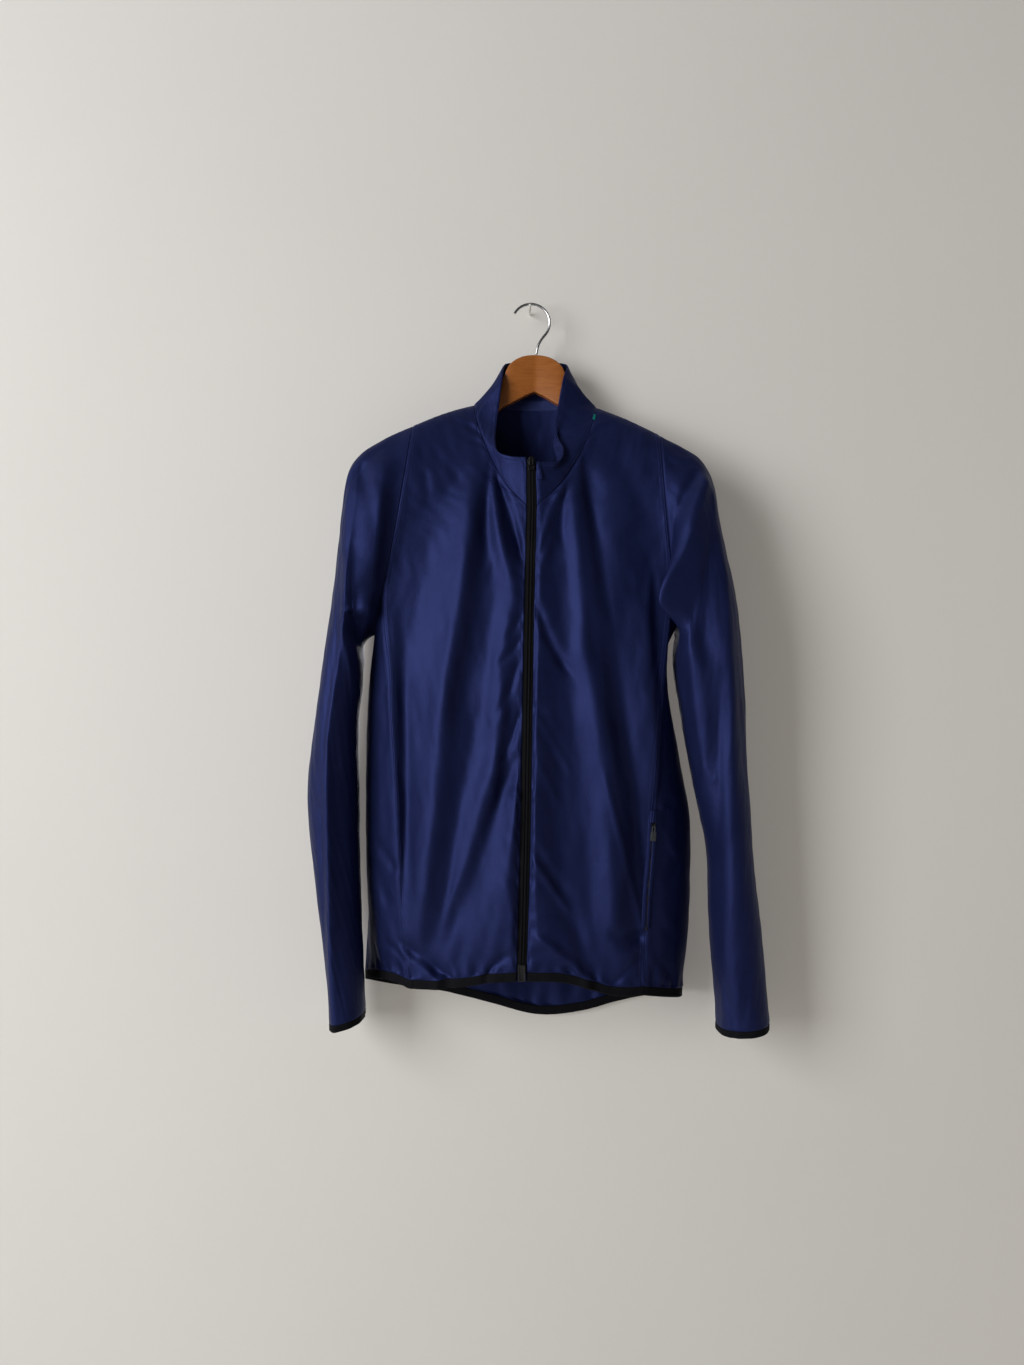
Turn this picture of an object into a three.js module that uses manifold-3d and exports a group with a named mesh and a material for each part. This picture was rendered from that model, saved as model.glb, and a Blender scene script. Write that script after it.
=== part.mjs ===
import * as THREE from 'three';
import { mergeVertices } from 'three/addons/utils/BufferGeometryUtils.js';
import Module from 'manifold-3d';

// A zipped track jacket hanging on a contoured wooden hanger.
// Millimetres. +Z is up, the front faces -Y and the wearer's left arm is on +X.
// The origin is the inside top of the hook, where a pin or a rail carries it.
// Right and left are the wearer's.

// Cloth
const cloth = 1.2;            // woven shell
const collarCloth = 2;        // the collar is two layers
const bindingCloth = 2.2;     // folded elastic over the hem and the cuffs
const seamGap = 0.3;
const hemHeight = 9.2;
const cuffHeight = 7;

// Zip
const zipSlot = 5.8;          // from the middle of the teeth to a front's edge
const teethHalf = 2.7;
const teethDepth = 2;
const tapeReach = 9;          // how far a tape runs behind a front
const tapeCloth = 0.9;

// Rows and columns of the cloth
const shoulderColumns = 8;
const neckBackColumns = 8;
const neckRows = 7;
const armRows = 8;            // from the shoulder point to the side seam
const sideRows = 15;
const bodyRows = armRows + sideRows;
const sideColumns = 4;
const sleeveRings = 21;
const collarRows = 3;
const sideSeamAt = 0.8;       // how far down the armhole the side seams start

// Hanger
const wireRadius = 1.6;

const wasm = await Module();
wasm.setup();

// A table is a line of column names and a row of numbers for each section or point.
function table(columns, rows) {
  const names = columns.split(' ');
  return rows.map((row) => Object.fromEntries(names.map((name, i) => [name, row[i]])));
}

// Shoulder seam, neck point to shoulder point.
const shoulderLine = {
  right: table('x y z', [
    [-67, -10, -123], [-90, -13.5, -129.5], [-114, -17.7, -139], [-138, -22.3, -151],
  ]),
  left: table('x y z', [
    [79, -9.5, -126], [103, -13.3, -135.5], [128, -17.7, -148], [152, -22.3, -162],
  ]),
};

// Neck seam, neck point to the zip.
const neckLine = {
  right: table('x y z', [
    [-67, -10, -123], [-65.5, -19, -131.5], [-60.5, -30, -152], [-51.5, -40.5, -178],
    [-40, -49, -204], [-26.5, -56, -227],
  ]),
  left: table('x y z', [
    [79, -9.5, -126], [77, -19, -134.5], [70.5, -30, -156], [60, -40.5, -183],
    [47, -48.5, -206], [31, -56, -228],
  ]),
};
const neckBackLine = table('x y z', [
  [-67, -10, -123], [-53, 2.5, -119.5], [-34, 7, -119.5], [-14, 10, -120.5], [6, 11, -121],
  [26, 10, -121], [46, 7, -121], [65, 2.5, -122], [79, -9.5, -126],
]);

// Middle of the zip, collar top to hem.
const zipCollarLine = table('x y z', [[0.5, -66, -199], [0.8, -65, -226], [1, -62, -250]]);
const zipLine = table('x y z', [
  [1, -62, -250], [-0.8, -71, -314], [-2.8, -79, -400], [-4.6, -84, -500],
  [-6.2, -86.5, -600], [-8.2, -86, -690], [-10.6, -82, -780],
]);

// Side seams, armhole to hem, and the line down the middle of the side panel.
const sideLines = {
  right: {
    front: table('x y z', [
      [-167, -61, -396], [-161, -62, -440], [-159.5, -62, -494], [-155.5, -63, -552],
      [-151, -64, -650], [-149.5, -64, -706], [-145, -62, -758], [-140, -60, -794],
    ]),
    middle: table('x y z', [
      [-187, -24, -430], [-191, -24, -465], [-192.5, -24, -520], [-192.5, -24, -612],
      [-191, -23, -664], [-187, -24, -716], [-179, -27, -762], [-170, -30, -792],
    ]),
    back: table('x y z', [
      [-180, 15, -396], [-186, 15, -460], [-188, 16, -550], [-190, 16, -640],
      [-192, 15, -700], [-196, 12, -750], [-199, 9, -801],
    ]),
  },
  left: {
    front: table('x y z', [
      [157.5, -60, -404], [151, -62, -462], [145.5, -63, -520], [141, -64, -580],
      [137.5, -65, -645], [133, -65, -700], [131, -64, -745], [129, -62, -801],
    ]),
    middle: table('x y z', [
      [158, -24, -420], [158.5, -24, -452], [168, -24, -500], [178, -24, -556],
      [186, -24, -606], [187, -24, -660], [184.5, -24, -727], [180, -24, -780],
      [176, -20, -815],
    ]),
    back: table('x y z', [
      [160, 14, -400], [158, 15, -450], [166, 16, -520], [176, 16, -600],
      [180, 16, -680], [180, 16, -750], [177, 14, -818],
    ]),
  },
};

// Lower edges, where the elastic binding starts.
const hemLines = {
  right: table('x y z', [[-46, -79, -782.5], [-78, -74.5, -788.5], [-110, -68, -793]]),
  left: table('x y z', [[28, -79, -781], [56, -76, -787], [92, -70, -799]]),
  back: table('x y z', [
    [-199, 9, -801], [-156, 14, -810], [-106, 18, -818], [-50, 19, -832],
    [8, 20, -847], [60, 19, -843], [104, 18, -831], [140, 17, -823], [177, 14, -818],
  ]),
};

// Sleeve sections, armhole to cuff. Each runs from its outer point to its inner point.
// depth is the middle's y, front and back are how far it reaches each way, power is how
// square it is, sag drops its fullness towards the inner point, bow leans it to the zip.
const sleeveColumns = 'outerX outerZ innerX innerZ depth front back power sag bow';
const sleeveSections = {
  right: table(sleeveColumns, [
    [-138, -151, -182, -396, -22.3, 39, 36, 2.5, 1.4, 5],
    [-171, -167, -187, -399, -29, 42, 40, 2.5, 1.6, 3],
    [-197, -185, -191, -403, -34, 45, 43, 2.4, 1.5, 1],
    [-212, -207, -195, -409, -36, 47, 45, 2.3, 1.4, 0],
    [-219, -249, -197, -418, -37, 48, 47, 2.3, 1.3, 0],
    [-223, -290, -196, -434, -37, 49, 48, 2.2, 1.2, 0],
    [-229, -344, -197, -458, -37, 49, 48, 2.2, 1.1, 0],
    [-239, -415, -201, -492, -36, 49, 47, 2.2, 1, 0],
    [-249, -487, -202, -532, -35, 49, 46, 2.2, 1, 0],
    [-259, -566, -201, -576, -33, 48, 45, 2.2, 1, 0],
    [-258, -620, -201, -626, -31, 46, 44, 2.2, 1, 0],
    [-252, -678, -200, -680, -30, 44, 42, 2.2, 1, 0],
    [-244, -745, -198, -744, -29, 42, 40, 2.2, 1, 0],
    [-238, -803, -196, -798, -28, 40, 38, 2.2, 1, 0],
    [-235, -848, -195, -839, -27, 38, 36, 2.2, 1, 0],
  ]),
  left: table(sleeveColumns, [
    [152, -162, 171, -388, -22.3, 39, 36, 2.5, 1.4, 4],
    [176, -176, 172, -394, -30, 42, 40, 2.5, 1.6, 3],
    [199, -193, 172, -400, -34, 45, 43, 2.4, 1.5, 1],
    [213, -219, 170, -408, -37, 47, 45, 2.3, 1.4, 0],
    [220, -262, 168, -418, -37, 48, 47, 2.3, 1.3, 0],
    [228, -302, 167, -434, -38, 49, 48, 2.2, 1.2, 0],
    [238, -350, 170, -458, -38, 49, 48, 2.2, 1.1, 0],
    [245, -412, 177, -500, -37, 48, 47, 2.2, 1, 0],
    [249, -472, 185, -544, -36, 47, 45, 2.2, 1, 0],
    [251, -536, 192, -578, -35, 46, 44, 2.2, 1, 0],
    [255, -596, 199, -610, -34, 45, 43, 2.2, 1, 0],
    [259, -652, 207, -652, -33, 43, 41, 2.2, 1, 0],
    [265, -708, 209, -708, -32, 42, 39, 2.2, 1, 0],
    [272, -768, 212, -768, -30, 40, 37, 2.2, 1, 0],
    [277, -822, 217, -822, -29, 38, 36, 2.2, 1, 0],
    [279, -850, 219, -854, -28, 37, 35, 2.2, 1, 0],
  ]),
};

// Top edge of the collar, from the zip on the right round the back to the zip on the left.
const collarTopLine = table('x y z', [
  [-5.3, -66, -196], [-24, -63, -194.5], [-37, -55, -188], [-41, -44, -173],
  [-40, -31, -150], [-37, -24, -122], [-33.5, -19, -94], [-31, -3, -72.5],
  [-20, 8.5, -67], [-6, 12.5, -63.5], [8, 13.5, -62], [22, 12.5, -63.5], [35, 8.5, -67],
  [45, -3.5, -73.5], [39.5, -19, -93], [34, -24, -122], [29, -30, -146],
  [32, -38, -164], [40, -51, -183], [33, -61, -199], [6.3, -66, -202],
]);

// Folds. Each runs from its first end to its second, bowed sideways in the middle.
// A positive depth is a ridge and a negative one a trough.
const foldColumns = 'x0 z0 x1 z1 bow width depth';
const bodyFolds = {
  front: table(foldColumns, [
    [-53, -215, -82, -470, -4, 13, -5],
    [-82, -470, -118, -742, 6, 15, -5],
    [-66, -230, -96, -480, -4, 14, 5],
    [-96, -480, -122, -720, 0, 18, 6],
    [-37, -222, -10, -306, 3, 7, -3.5],
    [-44, -226, -26, -330, 4, 7, 3],
    [-12, -425, -46, -510, 0, 9, 3],
    [-19, -543, -92, -728, 8, 13, -5],
    [-36, -540, -80, -700, 6, 13, 4],
    [-146, -430, -140, -690, 0, 8, -4],
    [-142, -752, -94, -786, 0, 8, -4],
    [64, -218, 78, -412, 4, 13, -5],
    [78, -412, 122, -680, -6, 15, -6],
    [47, -230, 58, -420, -2, 12, 5],
    [58, -420, 90, -735, -12, 17, 6],
    [98, -250, 118, -560, 4, 22, 4],
    [5, -484, 38, -552, 0, 8, -3],
    [6, -640, 34, -690, 0, 8, -3],
    [28, -560, 40, -720, 4, 16, -4],
    [43, -716, 74, -786, 0, 9, -4],
    [100, -752, 130, -738, 0, 7, -3],
  ]),
  back: table(foldColumns, [
    [-52, -190, -78, -520, -6, 18, 5],
    [-30, -210, -34, -640, 4, 16, -4],
    [-120, -300, -98, -720, 8, 20, 5],
    [-150, -380, -140, -780, 0, 14, -4],
    [56, -200, 72, -560, 6, 18, 5],
    [28, -230, 20, -700, -4, 16, -4],
    [118, -320, 104, -760, -8, 20, 5],
    [148, -400, 140, -780, 0, 14, -4],
    [-20, -700, 4, -832, 0, 14, 4],
    [64, -720, 52, -826, 0, 12, 3],
  ]),
};
const sleeveFolds = {
  right: {
    front: table(foldColumns, [
      [-196, -206, -172, -312, -6, 9, -4],
      [-208, -213, -210, -340, 3, 9, 3],
      [-206, -380, -176, -384, 0, 8, -5],
      [-232, -530, -227, -840, 0, 7, 4],
      [-248, -500, -246, -600, 0, 8, -3],
    ]),
    back: table(foldColumns, [
      [-205, -260, -215, -420, 0, 12, 4],
      [-236, -520, -226, -800, 0, 10, -4],
    ]),
  },
  left: {
    front: table(foldColumns, [
      [202, -212, 150, -352, 8, 12, 5],
      [206, -214, 230, -470, -4, 9, 4],
      [176, -300, 196, -420, 6, 12, -5],
      [212, -470, 208, -740, 0, 9, -4],
      [238, -400, 244, -560, 0, 9, -4],
    ]),
    back: table(foldColumns, [
      [205, -260, 226, -430, 0, 12, 4],
      [232, -520, 244, -800, 0, 10, -4],
    ]),
  },
};

// Hanger: from its middle out to a tip. top and bottom are heights from its crown, half is
// half its thickness.
const hangerSections = table('reach top bottom half', [
  [0, 0, -44, 6], [12, -1.5, -50, 6], [22, -5.5, -56, 6], [31, -13, -61, 6], [36, -23, -63, 5.4],
  [43, -42, -70, 4.8], [55, -58, -82, 4.6], [67, -70, -93, 4.6], [76, -76, -99, 4.8],
  [99, -83.5, -109, 4.8], [124, -94, -119, 4.8], [148, -107, -130, 4.8], [172, -121, -141, 4.8],
  [187, -132, -148, 4.4], [196, -143, -150, 3],
]);
const hanger = { crownX: 7, crownZ: -61, tilt: 1.7, sweep: 0.11, curl: 0.0003 };

// Hook wire: up the shank, round the crook and out to its tip.
const hook = { middleX: 1, middleZ: -21, radius: 22.6, from: -32, to: 150 };
const hookShank = table('x z', [[7.5, -59], [10, -48], [14.5, -40]]);

// Sliders. Each pull turns on a bar through the slider's arch.
// rear is the width of the plate behind the teeth, where there is one.
const frontSlider = { width: 9.6, height: 11, rear: 4.4, channel: 2.6, plate: 1.2, arch: 4.2 };
const frontPull = { width: 6, length: 10.2, window: 5.2, bar: 1.5, thick: 1.4, turn: -5 };
const pocketSlider = { width: 5.6, height: 9, rear: 0, channel: 0, plate: 0.9, arch: 3.4 };
const pocketPull = { width: 6.6, length: 17, window: 5, bar: 1.3, thick: 1.1, turn: 178.2 };
const frontSliderZ = -205;
const archBar = 1.1;
const teethShift = 0.4;       // the teeth stand this far behind the zip's line

// The pocket zip covers the left side seam between two of its rows.
const pocketZip = { fromRow: 8.4, toRow: 12.9, half: 2.4, thick: 1, sliderRow: 9 };

// The hem end of the front zip, and the cloth tab beside the slider.
const zipBox = { half: 4.6, thick: 3.8, top: -770, height: 20 };
const zipGarage = { width: 5.6, height: 21, thick: 1.2, x: 9.6, z: -211, turn: -9 };

const { clamp, lerp, smoothstep, degToRad } = THREE.MathUtils;

// ---- lines and sections

function pointsOf(rows) {
  return rows.map((row) => new THREE.Vector3(row.x, row.y, row.z));
}

function lineThrough(points) {
  return new THREE.CatmullRomCurve3(points, false, 'catmullrom', 0.5);
}

function between(rows, name, position) {
  const last = rows.length - 1;
  const start = Math.min(Math.floor(position), last - 1);
  const t = position - start;
  const [a, b, c, d] = [-1, 0, 1, 2].map((step) => rows[clamp(start + step, 0, last)][name]);
  const bend = (2 * a - 5 * b + 4 * c - d) * t * t + (3 * b - a - 3 * c + d) * t ** 3;
  return b + 0.5 * ((c - a) * t + bend);
}

// Each fold pushes a point by its depth, less with distance from the fold's line.
function foldDepth(point, folds) {
  let depth = 0;
  for (const fold of folds) {
    const alongX = fold.x1 - fold.x0;
    const alongZ = fold.z1 - fold.z0;
    const length = Math.hypot(alongX, alongZ);
    const dx = point.x - fold.x0;
    const dz = point.z - fold.z0;
    const share = (dx * alongX + dz * alongZ) / length ** 2;
    if (share > -0.2 && share < 1.2) {
      const bow = fold.bow * 4 * share * (1 - share);
      const aside = (dx * alongZ - dz * alongX) / length - bow;
      const ends = smoothstep(share, -0.2, 0.15) * (1 - smoothstep(share, 0.85, 1.2));
      depth += fold.depth * ends * Math.exp(-((aside / fold.width) ** 2));
    }
  }
  return depth;
}

function creased(point, folds, middleDepth, reach) {
  const front = smoothstep(middleDepth - point.y, reach * 0.4, reach);
  const back = smoothstep(point.y - middleDepth, reach * 0.4, reach);
  const push = back * foldDepth(point, folds.back) - front * foldDepth(point, folds.front);
  return new THREE.Vector3(point.x, point.y + push, point.z);
}

function creasedBody(point) {
  return creased(point, bodyFolds, -22, 24);
}

// round runs 0 to 1 down the front of a section and 0 to -1 down its back.
function chordShare(round) {
  const share = Math.abs(round);
  if (share <= sideSeamAt) {
    return sideSeamAt * (share / sideSeamAt) ** 2;
  }
  const rest = (share - sideSeamAt) / (1 - sideSeamAt);
  return 1 - (1 - sideSeamAt) * (1 - rest) ** 1.32;
}

function sleevePoint(side, ring, round) {
  const rows = sleeveSections[side];
  const at = (name) => between(rows, name, ring);
  const chord = chordShare(round);
  const power = at('power');
  const full = (1 - Math.abs(2 * chord ** at('sag') - 1) ** power) ** (1 / power);
  const reach = round > 0 ? -at('front') : at('back');
  const bow = at('bow') * 4 * chord * (1 - chord) * (side === 'right' ? 1 : -1);
  const x = lerp(at('outerX'), at('innerX'), chord) + bow;
  const y = at('depth') + reach * full;
  return new THREE.Vector3(x, y, lerp(at('outerZ'), at('innerZ'), chord));
}

function zipEdgeLine(side) {
  const shift = side === 'right' ? -zipSlot : zipSlot;
  const points = pointsOf(zipLine).map((point) => point.setX(point.x + shift));
  return lineThrough(points);
}

function sideLine(side, which) {
  const round = { front: sideSeamAt, middle: 1, back: -sideSeamAt }[which];
  return lineThrough([sleevePoint(side, 0, round), ...pointsOf(sideLines[side][which])]);
}

function sideLinesOf(side) {
  const zipEdge = zipEdgeLine(side);
  const sideFront = sideLine(side, 'front');
  const neck = lineThrough([...pointsOf(neckLine[side]), zipEdge.getPointAt(0)]);
  const hemPoints = [zipEdge.getPointAt(1), ...pointsOf(hemLines[side]), sideFront.getPointAt(1)];
  return {
    zipEdge,
    neck,
    sideFront,
    sideMiddle: sideLine(side, 'middle'),
    sideBack: sideLine(side, 'back'),
    shoulder: lineThrough(pointsOf(shoulderLine[side])),
    hem: lineThrough(hemPoints),
  };
}

const seams = { right: sideLinesOf('right'), left: sideLinesOf('left') };
const neckBack = lineThrough(pointsOf(neckBackLine));
const hemBack = lineThrough(pointsOf(hemLines.back));

// ---- cloth surfaces, each a grid of points

function neckPoint(side, row) {
  return seams[side].neck.getPointAt((row / neckRows) ** 2);
}

function frontInner(side, row) {
  if (row <= neckRows) {
    return neckPoint(side, row);
  }
  return seams[side].zipEdge.getPointAt((row - neckRows) / (bodyRows - neckRows));
}

function armholePoint(side, row, sign) {
  return sleevePoint(side, 0, sign * sideSeamAt * row / armRows);
}

function frontOuter(side, row) {
  if (row <= armRows) {
    return armholePoint(side, row, 1);
  }
  return seams[side].sideFront.getPointAt((row - armRows) / sideRows);
}

function backOuter(side, row) {
  if (row <= armRows) {
    return armholePoint(side, row, -1);
  }
  return seams[side].sideBack.getPointAt((row - armRows) / sideRows);
}

// The difference between an edge and the straight line across its panel, scaled by fade.
function edgeLift(edge, first, last, across, fade) {
  const straight = first.clone().lerp(last, across);
  return edge.clone().sub(straight).multiply(fade);
}

function frontPanel(side) {
  const { shoulder, hem } = seams[side];
  const grid = [];
  for (let row = 0; row <= bodyRows; row += 1) {
    const down = row / bodyRows;
    const fadeTop = new THREE.Vector3().setScalar((1 - down) ** 4);
    const fadeHem = new THREE.Vector3().setScalar(down ** 4);
    const line = [];
    for (let column = 0; column <= shoulderColumns; column += 1) {
      const across = column / shoulderColumns;
      const point = frontInner(side, row).lerp(frontOuter(side, row), across);
      const top = shoulder.getPointAt(across);
      const bottom = hem.getPointAt(across);
      point.add(edgeLift(top, frontInner(side, 0), frontOuter(side, 0), across, fadeTop));
      const corners = [frontInner(side, bodyRows), frontOuter(side, bodyRows)];
      point.add(edgeLift(bottom, ...corners, across, fadeHem));
      line.push(creasedBody(point));
    }
    grid.push(line);
  }
  return grid;
}

function backTop(column) {
  const left = column - shoulderColumns - neckBackColumns;
  if (column < shoulderColumns) {
    return seams.right.shoulder.getPointAt(1 - column / shoulderColumns);
  }
  if (left <= 0) {
    return neckBack.getPointAt((column - shoulderColumns) / neckBackColumns);
  }
  return seams.left.shoulder.getPointAt(left / shoulderColumns);
}

const backColumns = 2 * shoulderColumns + neckBackColumns;

function backPanel() {
  const grid = [];
  const topFirst = backTop(0);
  const topLast = backTop(backColumns);
  const hemFirst = hemBack.getPointAt(0);
  const hemLast = hemBack.getPointAt(1);
  for (let row = 0; row <= bodyRows; row += 1) {
    const down = row / bodyRows;
    const fadeTop = new THREE.Vector3((1 - down) ** 2, (1 - down) ** 5, (1 - down) ** 1.6);
    const fadeHem = new THREE.Vector3().setScalar(down ** 3);
    const line = [];
    for (let column = 0; column <= backColumns; column += 1) {
      const top = backTop(column);
      const across = (top.x - topFirst.x) / (topLast.x - topFirst.x);
      const point = backOuter('right', row).lerp(backOuter('left', row), across);
      point.add(edgeLift(top, topFirst, topLast, across, fadeTop));
      point.add(edgeLift(hemBack.getPointAt(across), hemFirst, hemLast, across, fadeHem));
      line.push(creasedBody(point));
    }
    grid.push(line);
  }
  return grid;
}

// A smooth curve across the side panel: its front seam, its middle and its back seam.
function acrossSide(front, middle, back, across) {
  const weights = [
    (1 - across) * (1 - 2 * across), 4 * across * (1 - across), across * (2 * across - 1),
  ];
  const point = front.clone().multiplyScalar(weights[0]);
  return point.addScaledVector(middle, weights[1]).addScaledVector(back, weights[2]);
}

function sidePanel(side) {
  const { sideFront, sideMiddle, sideBack } = seams[side];
  const armholeRound = [sideSeamAt, (1 + sideSeamAt) / 2, 1, -(1 + sideSeamAt) / 2, -sideSeamAt];
  const armhole = armholeRound.map((round) => sleevePoint(side, 0, round));
  const grid = [];
  for (let row = 0; row <= sideRows; row += 1) {
    const down = row / sideRows;
    const section = [sideFront, sideMiddle, sideBack].map((line) => line.getPointAt(down));
    grid.push(armhole.map((point, column) => {
      const across = column / sideColumns;
      const smooth = acrossSide(armhole[0], armhole[2], armhole[4], across);
      const lift = point.clone().sub(smooth).multiplyScalar((1 - down) ** 6);
      return creasedBody(acrossSide(...section, across).add(lift));
    }));
  }
  return grid;
}

const sleeveRound = [];
for (let step = 0; step < 20; step += 1) {
  const row = step <= 10 ? step : step - 20;
  sleeveRound.push(row / 10);
}

function sleeve(side) {
  const rows = sleeveSections[side];
  const grid = [];
  for (let ring = 0; ring <= sleeveRings; ring += 1) {
    const at = (ring / sleeveRings) * (rows.length - 1);
    grid.push(sleeveRound.map((round) => {
      const point = sleevePoint(side, at, round);
      if (ring === 0) {
        return creasedBody(point);
      }
      const folded = creased(point, sleeveFolds[side], between(rows, 'depth', at), 22);
      return point.lerp(folded, smoothstep(at, 0, 3));
    }));
  }
  return grid;
}

// A sleeve is a front half and a back half, parted along its outer and inner lines.
function sleeveHalf(grid, half) {
  const inner = sleeveRound.length / 2;
  return grid.map((ring) => (half === 'front' ? ring.slice(0, inner + 1) : [...ring.slice(inner), ring[0]]));
}

// Neck seam from the zip on the right, round the back, to the zip on the left.
function neckSeam() {
  const points = [];
  for (let row = neckRows; row > 0; row -= 1) {
    points.push(neckPoint('right', row));
  }
  for (let step = 0; step <= neckBackColumns; step += 1) {
    points.push(neckBack.getPointAt(step / neckBackColumns));
  }
  for (let row = 1; row <= neckRows; row += 1) {
    points.push(neckPoint('left', row));
  }
  return points.map(creasedBody);
}

function collar() {
  const bottom = neckSeam();
  const topLine = lineThrough(pointsOf(collarTopLine));
  const grid = [];
  for (let row = 0; row <= collarRows; row += 1) {
    const rise = row / collarRows;
    grid.push(bottom.map((point, column) => {
      const top = topLine.getPoint(column / (bottom.length - 1));
      return point.clone().lerp(top, rise);
    }));
  }
  return grid;
}

// Hem and cuff bindings carry on straight down from the last row of the cloth above.
function bindingUnder(edge, height) {
  const fall = new THREE.Vector3(0, 0, -height);
  return [edge.map((point) => point.clone()), edge.map((point) => point.clone().add(fall))];
}

function lastRow(grid) {
  return grid[grid.length - 1];
}

function hemEdge(sheets) {
  const edges = [
    lastRow(sheets.front_right), lastRow(sheets.side_right), lastRow(sheets.back),
    lastRow(sheets.side_left).toReversed(), lastRow(sheets.front_left).toReversed(),
  ];
  return edges.flatMap((edge, i) => (i === 0 ? edge : edge.slice(1)));
}

// ---- walls

const pointKey = (point) => point.toArray().map((value) => Math.round(value * 50)).join();

function faceNormal(a, b, c) {
  return b.clone().sub(a).cross(c.clone().sub(a));
}

// The outward direction at each point of one sheet.
function sheetNormals({ grid, round, turned }) {
  const normals = new Map();
  const columns = grid[0].length;
  for (let i = 0; i + 1 < grid.length; i += 1) {
    for (let j = 0; j < (round ? columns : columns - 1); j += 1) {
      const next = (j + 1) % columns;
      const corners = [grid[i][j], grid[i + 1][j], grid[i + 1][next], grid[i][next]];
      for (const face of [[0, 1, 2], [0, 2, 3]]) {
        const points = face.map((k) => corners[k]);
        const normal = faceNormal(...points).multiplyScalar(turned ? 1 : -1);
        for (const point of points) {
          const key = pointKey(point);
          normals.set(key, (normals.get(key) ?? new THREE.Vector3()).add(normal));
        }
      }
    }
  }
  return normals;
}

// Sheets that meet at a seam share its direction equally, so their rims stay parallel.
function seamNormals(panels) {
  const shared = new Map();
  for (const panel of Object.values(panels)) {
    for (const [key, normal] of sheetNormals(panel)) {
      const { total, count } = shared.get(key) ?? { total: new THREE.Vector3(), count: 0 };
      shared.set(key, { total: total.add(normal.normalize()), count: count + 1 });
    }
  }
  return shared;
}

// Out along the shared direction, further where the sheets meet sharply.
function outAt(normals, point) {
  const { total, count } = normals.get(pointKey(point));
  const bend = clamp(total.length() / count, 0.55, 1);
  return total.clone().normalize().divideScalar(bend);
}

// Pulls a border point in along its own sheet, square to the border.
function pulledIn(before, point, after, inner, distance) {
  const along = after.clone().sub(before).normalize();
  const inward = inner.clone().sub(point);
  inward.addScaledVector(along, -inward.dot(along));
  return inward.setLength(distance);
}

function borderShift(grid, i, j, round) {
  const shift = new THREE.Vector3();
  const rows = grid.length - 1;
  const columns = grid[0].length;
  const row = (k) => grid[clamp(k, 0, rows)];
  const cell = (k, l) => (round ? row(k)[(l + columns) % columns] : row(k)[clamp(l, 0, columns - 1)]);
  const half = seamGap / 2;
  if (i === 0 || i === rows) {
    const inner = cell(i === 0 ? 1 : rows - 1, j);
    shift.add(pulledIn(cell(i, j - 1), cell(i, j), cell(i, j + 1), inner, half));
  }
  if (!round && (j === 0 || j === columns - 1)) {
    const inner = cell(i, j === 0 ? 1 : columns - 2);
    shift.add(pulledIn(cell(i - 1, j), cell(i, j), cell(i + 1, j), inner, half));
  }
  return shift;
}

function solid(points, faces) {
  const geometry = new THREE.BufferGeometry();
  const values = points.flatMap((point) => point.toArray());
  geometry.setAttribute('position', new THREE.Float32BufferAttribute(values, 3));
  geometry.setIndex(faces.flat());
  geometry.computeVertexNormals();
  return geometry;
}

function quad(faces, a, b, c, d) {
  faces.push([a, b, c], [a, c, d]);
}

// A wall of cloth: the sheet's outer face, its inner face and the rims between them.
function wall({ grid, round, turned, thickness, proud = 0 }, normals) {
  const rows = grid.length;
  const columns = grid[0].length;
  const outer = [];
  const inner = [];
  grid.forEach((line, i) => line.forEach((point, j) => {
    const out = outAt(normals, point);
    const place = point.clone().add(borderShift(grid, i, j, round));
    outer.push(place.clone().addScaledVector(out, proud));
    inner.push(place.clone().addScaledVector(out, proud - thickness));
  }));
  const faces = [];
  const at = (i, j) => i * columns + (j % columns);
  const under = (index) => index + outer.length;
  const face = (a, b, c, d) => (turned ? quad(faces, a, b, c, d) : quad(faces, a, d, c, b));
  const rim = (from, to) => {
    const corners = [to, under(to), under(from), from];
    if (outer[from].z < outer[to].z) {
      corners.push(corners.shift());
    }
    face(...corners);
  };
  const lastColumn = round ? columns : columns - 1;
  for (let i = 0; i + 1 < rows; i += 1) {
    for (let j = 0; j < lastColumn; j += 1) {
      const [a, b, c, d] = [at(i, j), at(i + 1, j), at(i + 1, j + 1), at(i, j + 1)];
      face(a, b, c, d);
      face(under(a), under(d), under(c), under(b));
    }
    if (!round) {
      rim(at(i + 1, 0), at(i, 0));
      rim(at(i, columns - 1), at(i + 1, columns - 1));
    }
  }
  for (let j = 0; j < lastColumn; j += 1) {
    rim(at(0, j), at(0, j + 1));
    rim(at(rows - 1, j + 1), at(rows - 1, j));
  }
  return solid([...outer, ...inner], faces);
}

// A solid through closed sections of equal count, flat at both ends.
// A turned band splits its quads along their other diagonal.
function loft(sections, turnedBand = () => false) {
  const around = sections[0].length;
  const faces = [];
  for (let i = 0; i + 1 < sections.length; i += 1) {
    for (let j = 0; j < around; j += 1) {
      const next = (j + 1) % around;
      const start = i * around;
      const corners = [start + j, start + next, start + around + next, start + around + j];
      if (turnedBand(i)) {
        corners.push(corners.shift());
      }
      quad(faces, ...corners);
    }
  }
  const end = (sections.length - 1) * around;
  for (let j = 1; j + 1 < around; j += 1) {
    faces.push([0, j + 1, j], [end, end + j, end + j + 1]);
  }
  return solid(sections.flat(), faces);
}

// ---- zip

function zipRows() {
  const collarLine = lineThrough(pointsOf(zipCollarLine));
  const bodyLine = lineThrough(pointsOf(zipLine));
  const rows = [];
  for (let row = 0; row < collarRows; row += 1) {
    rows.push(collarLine.getPointAt(row / collarRows));
  }
  for (let row = 0; row <= bodyRows - neckRows; row += 1) {
    rows.push(creasedBody(bodyLine.getPointAt(row / (bodyRows - neckRows))));
  }
  return rows;
}

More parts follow.
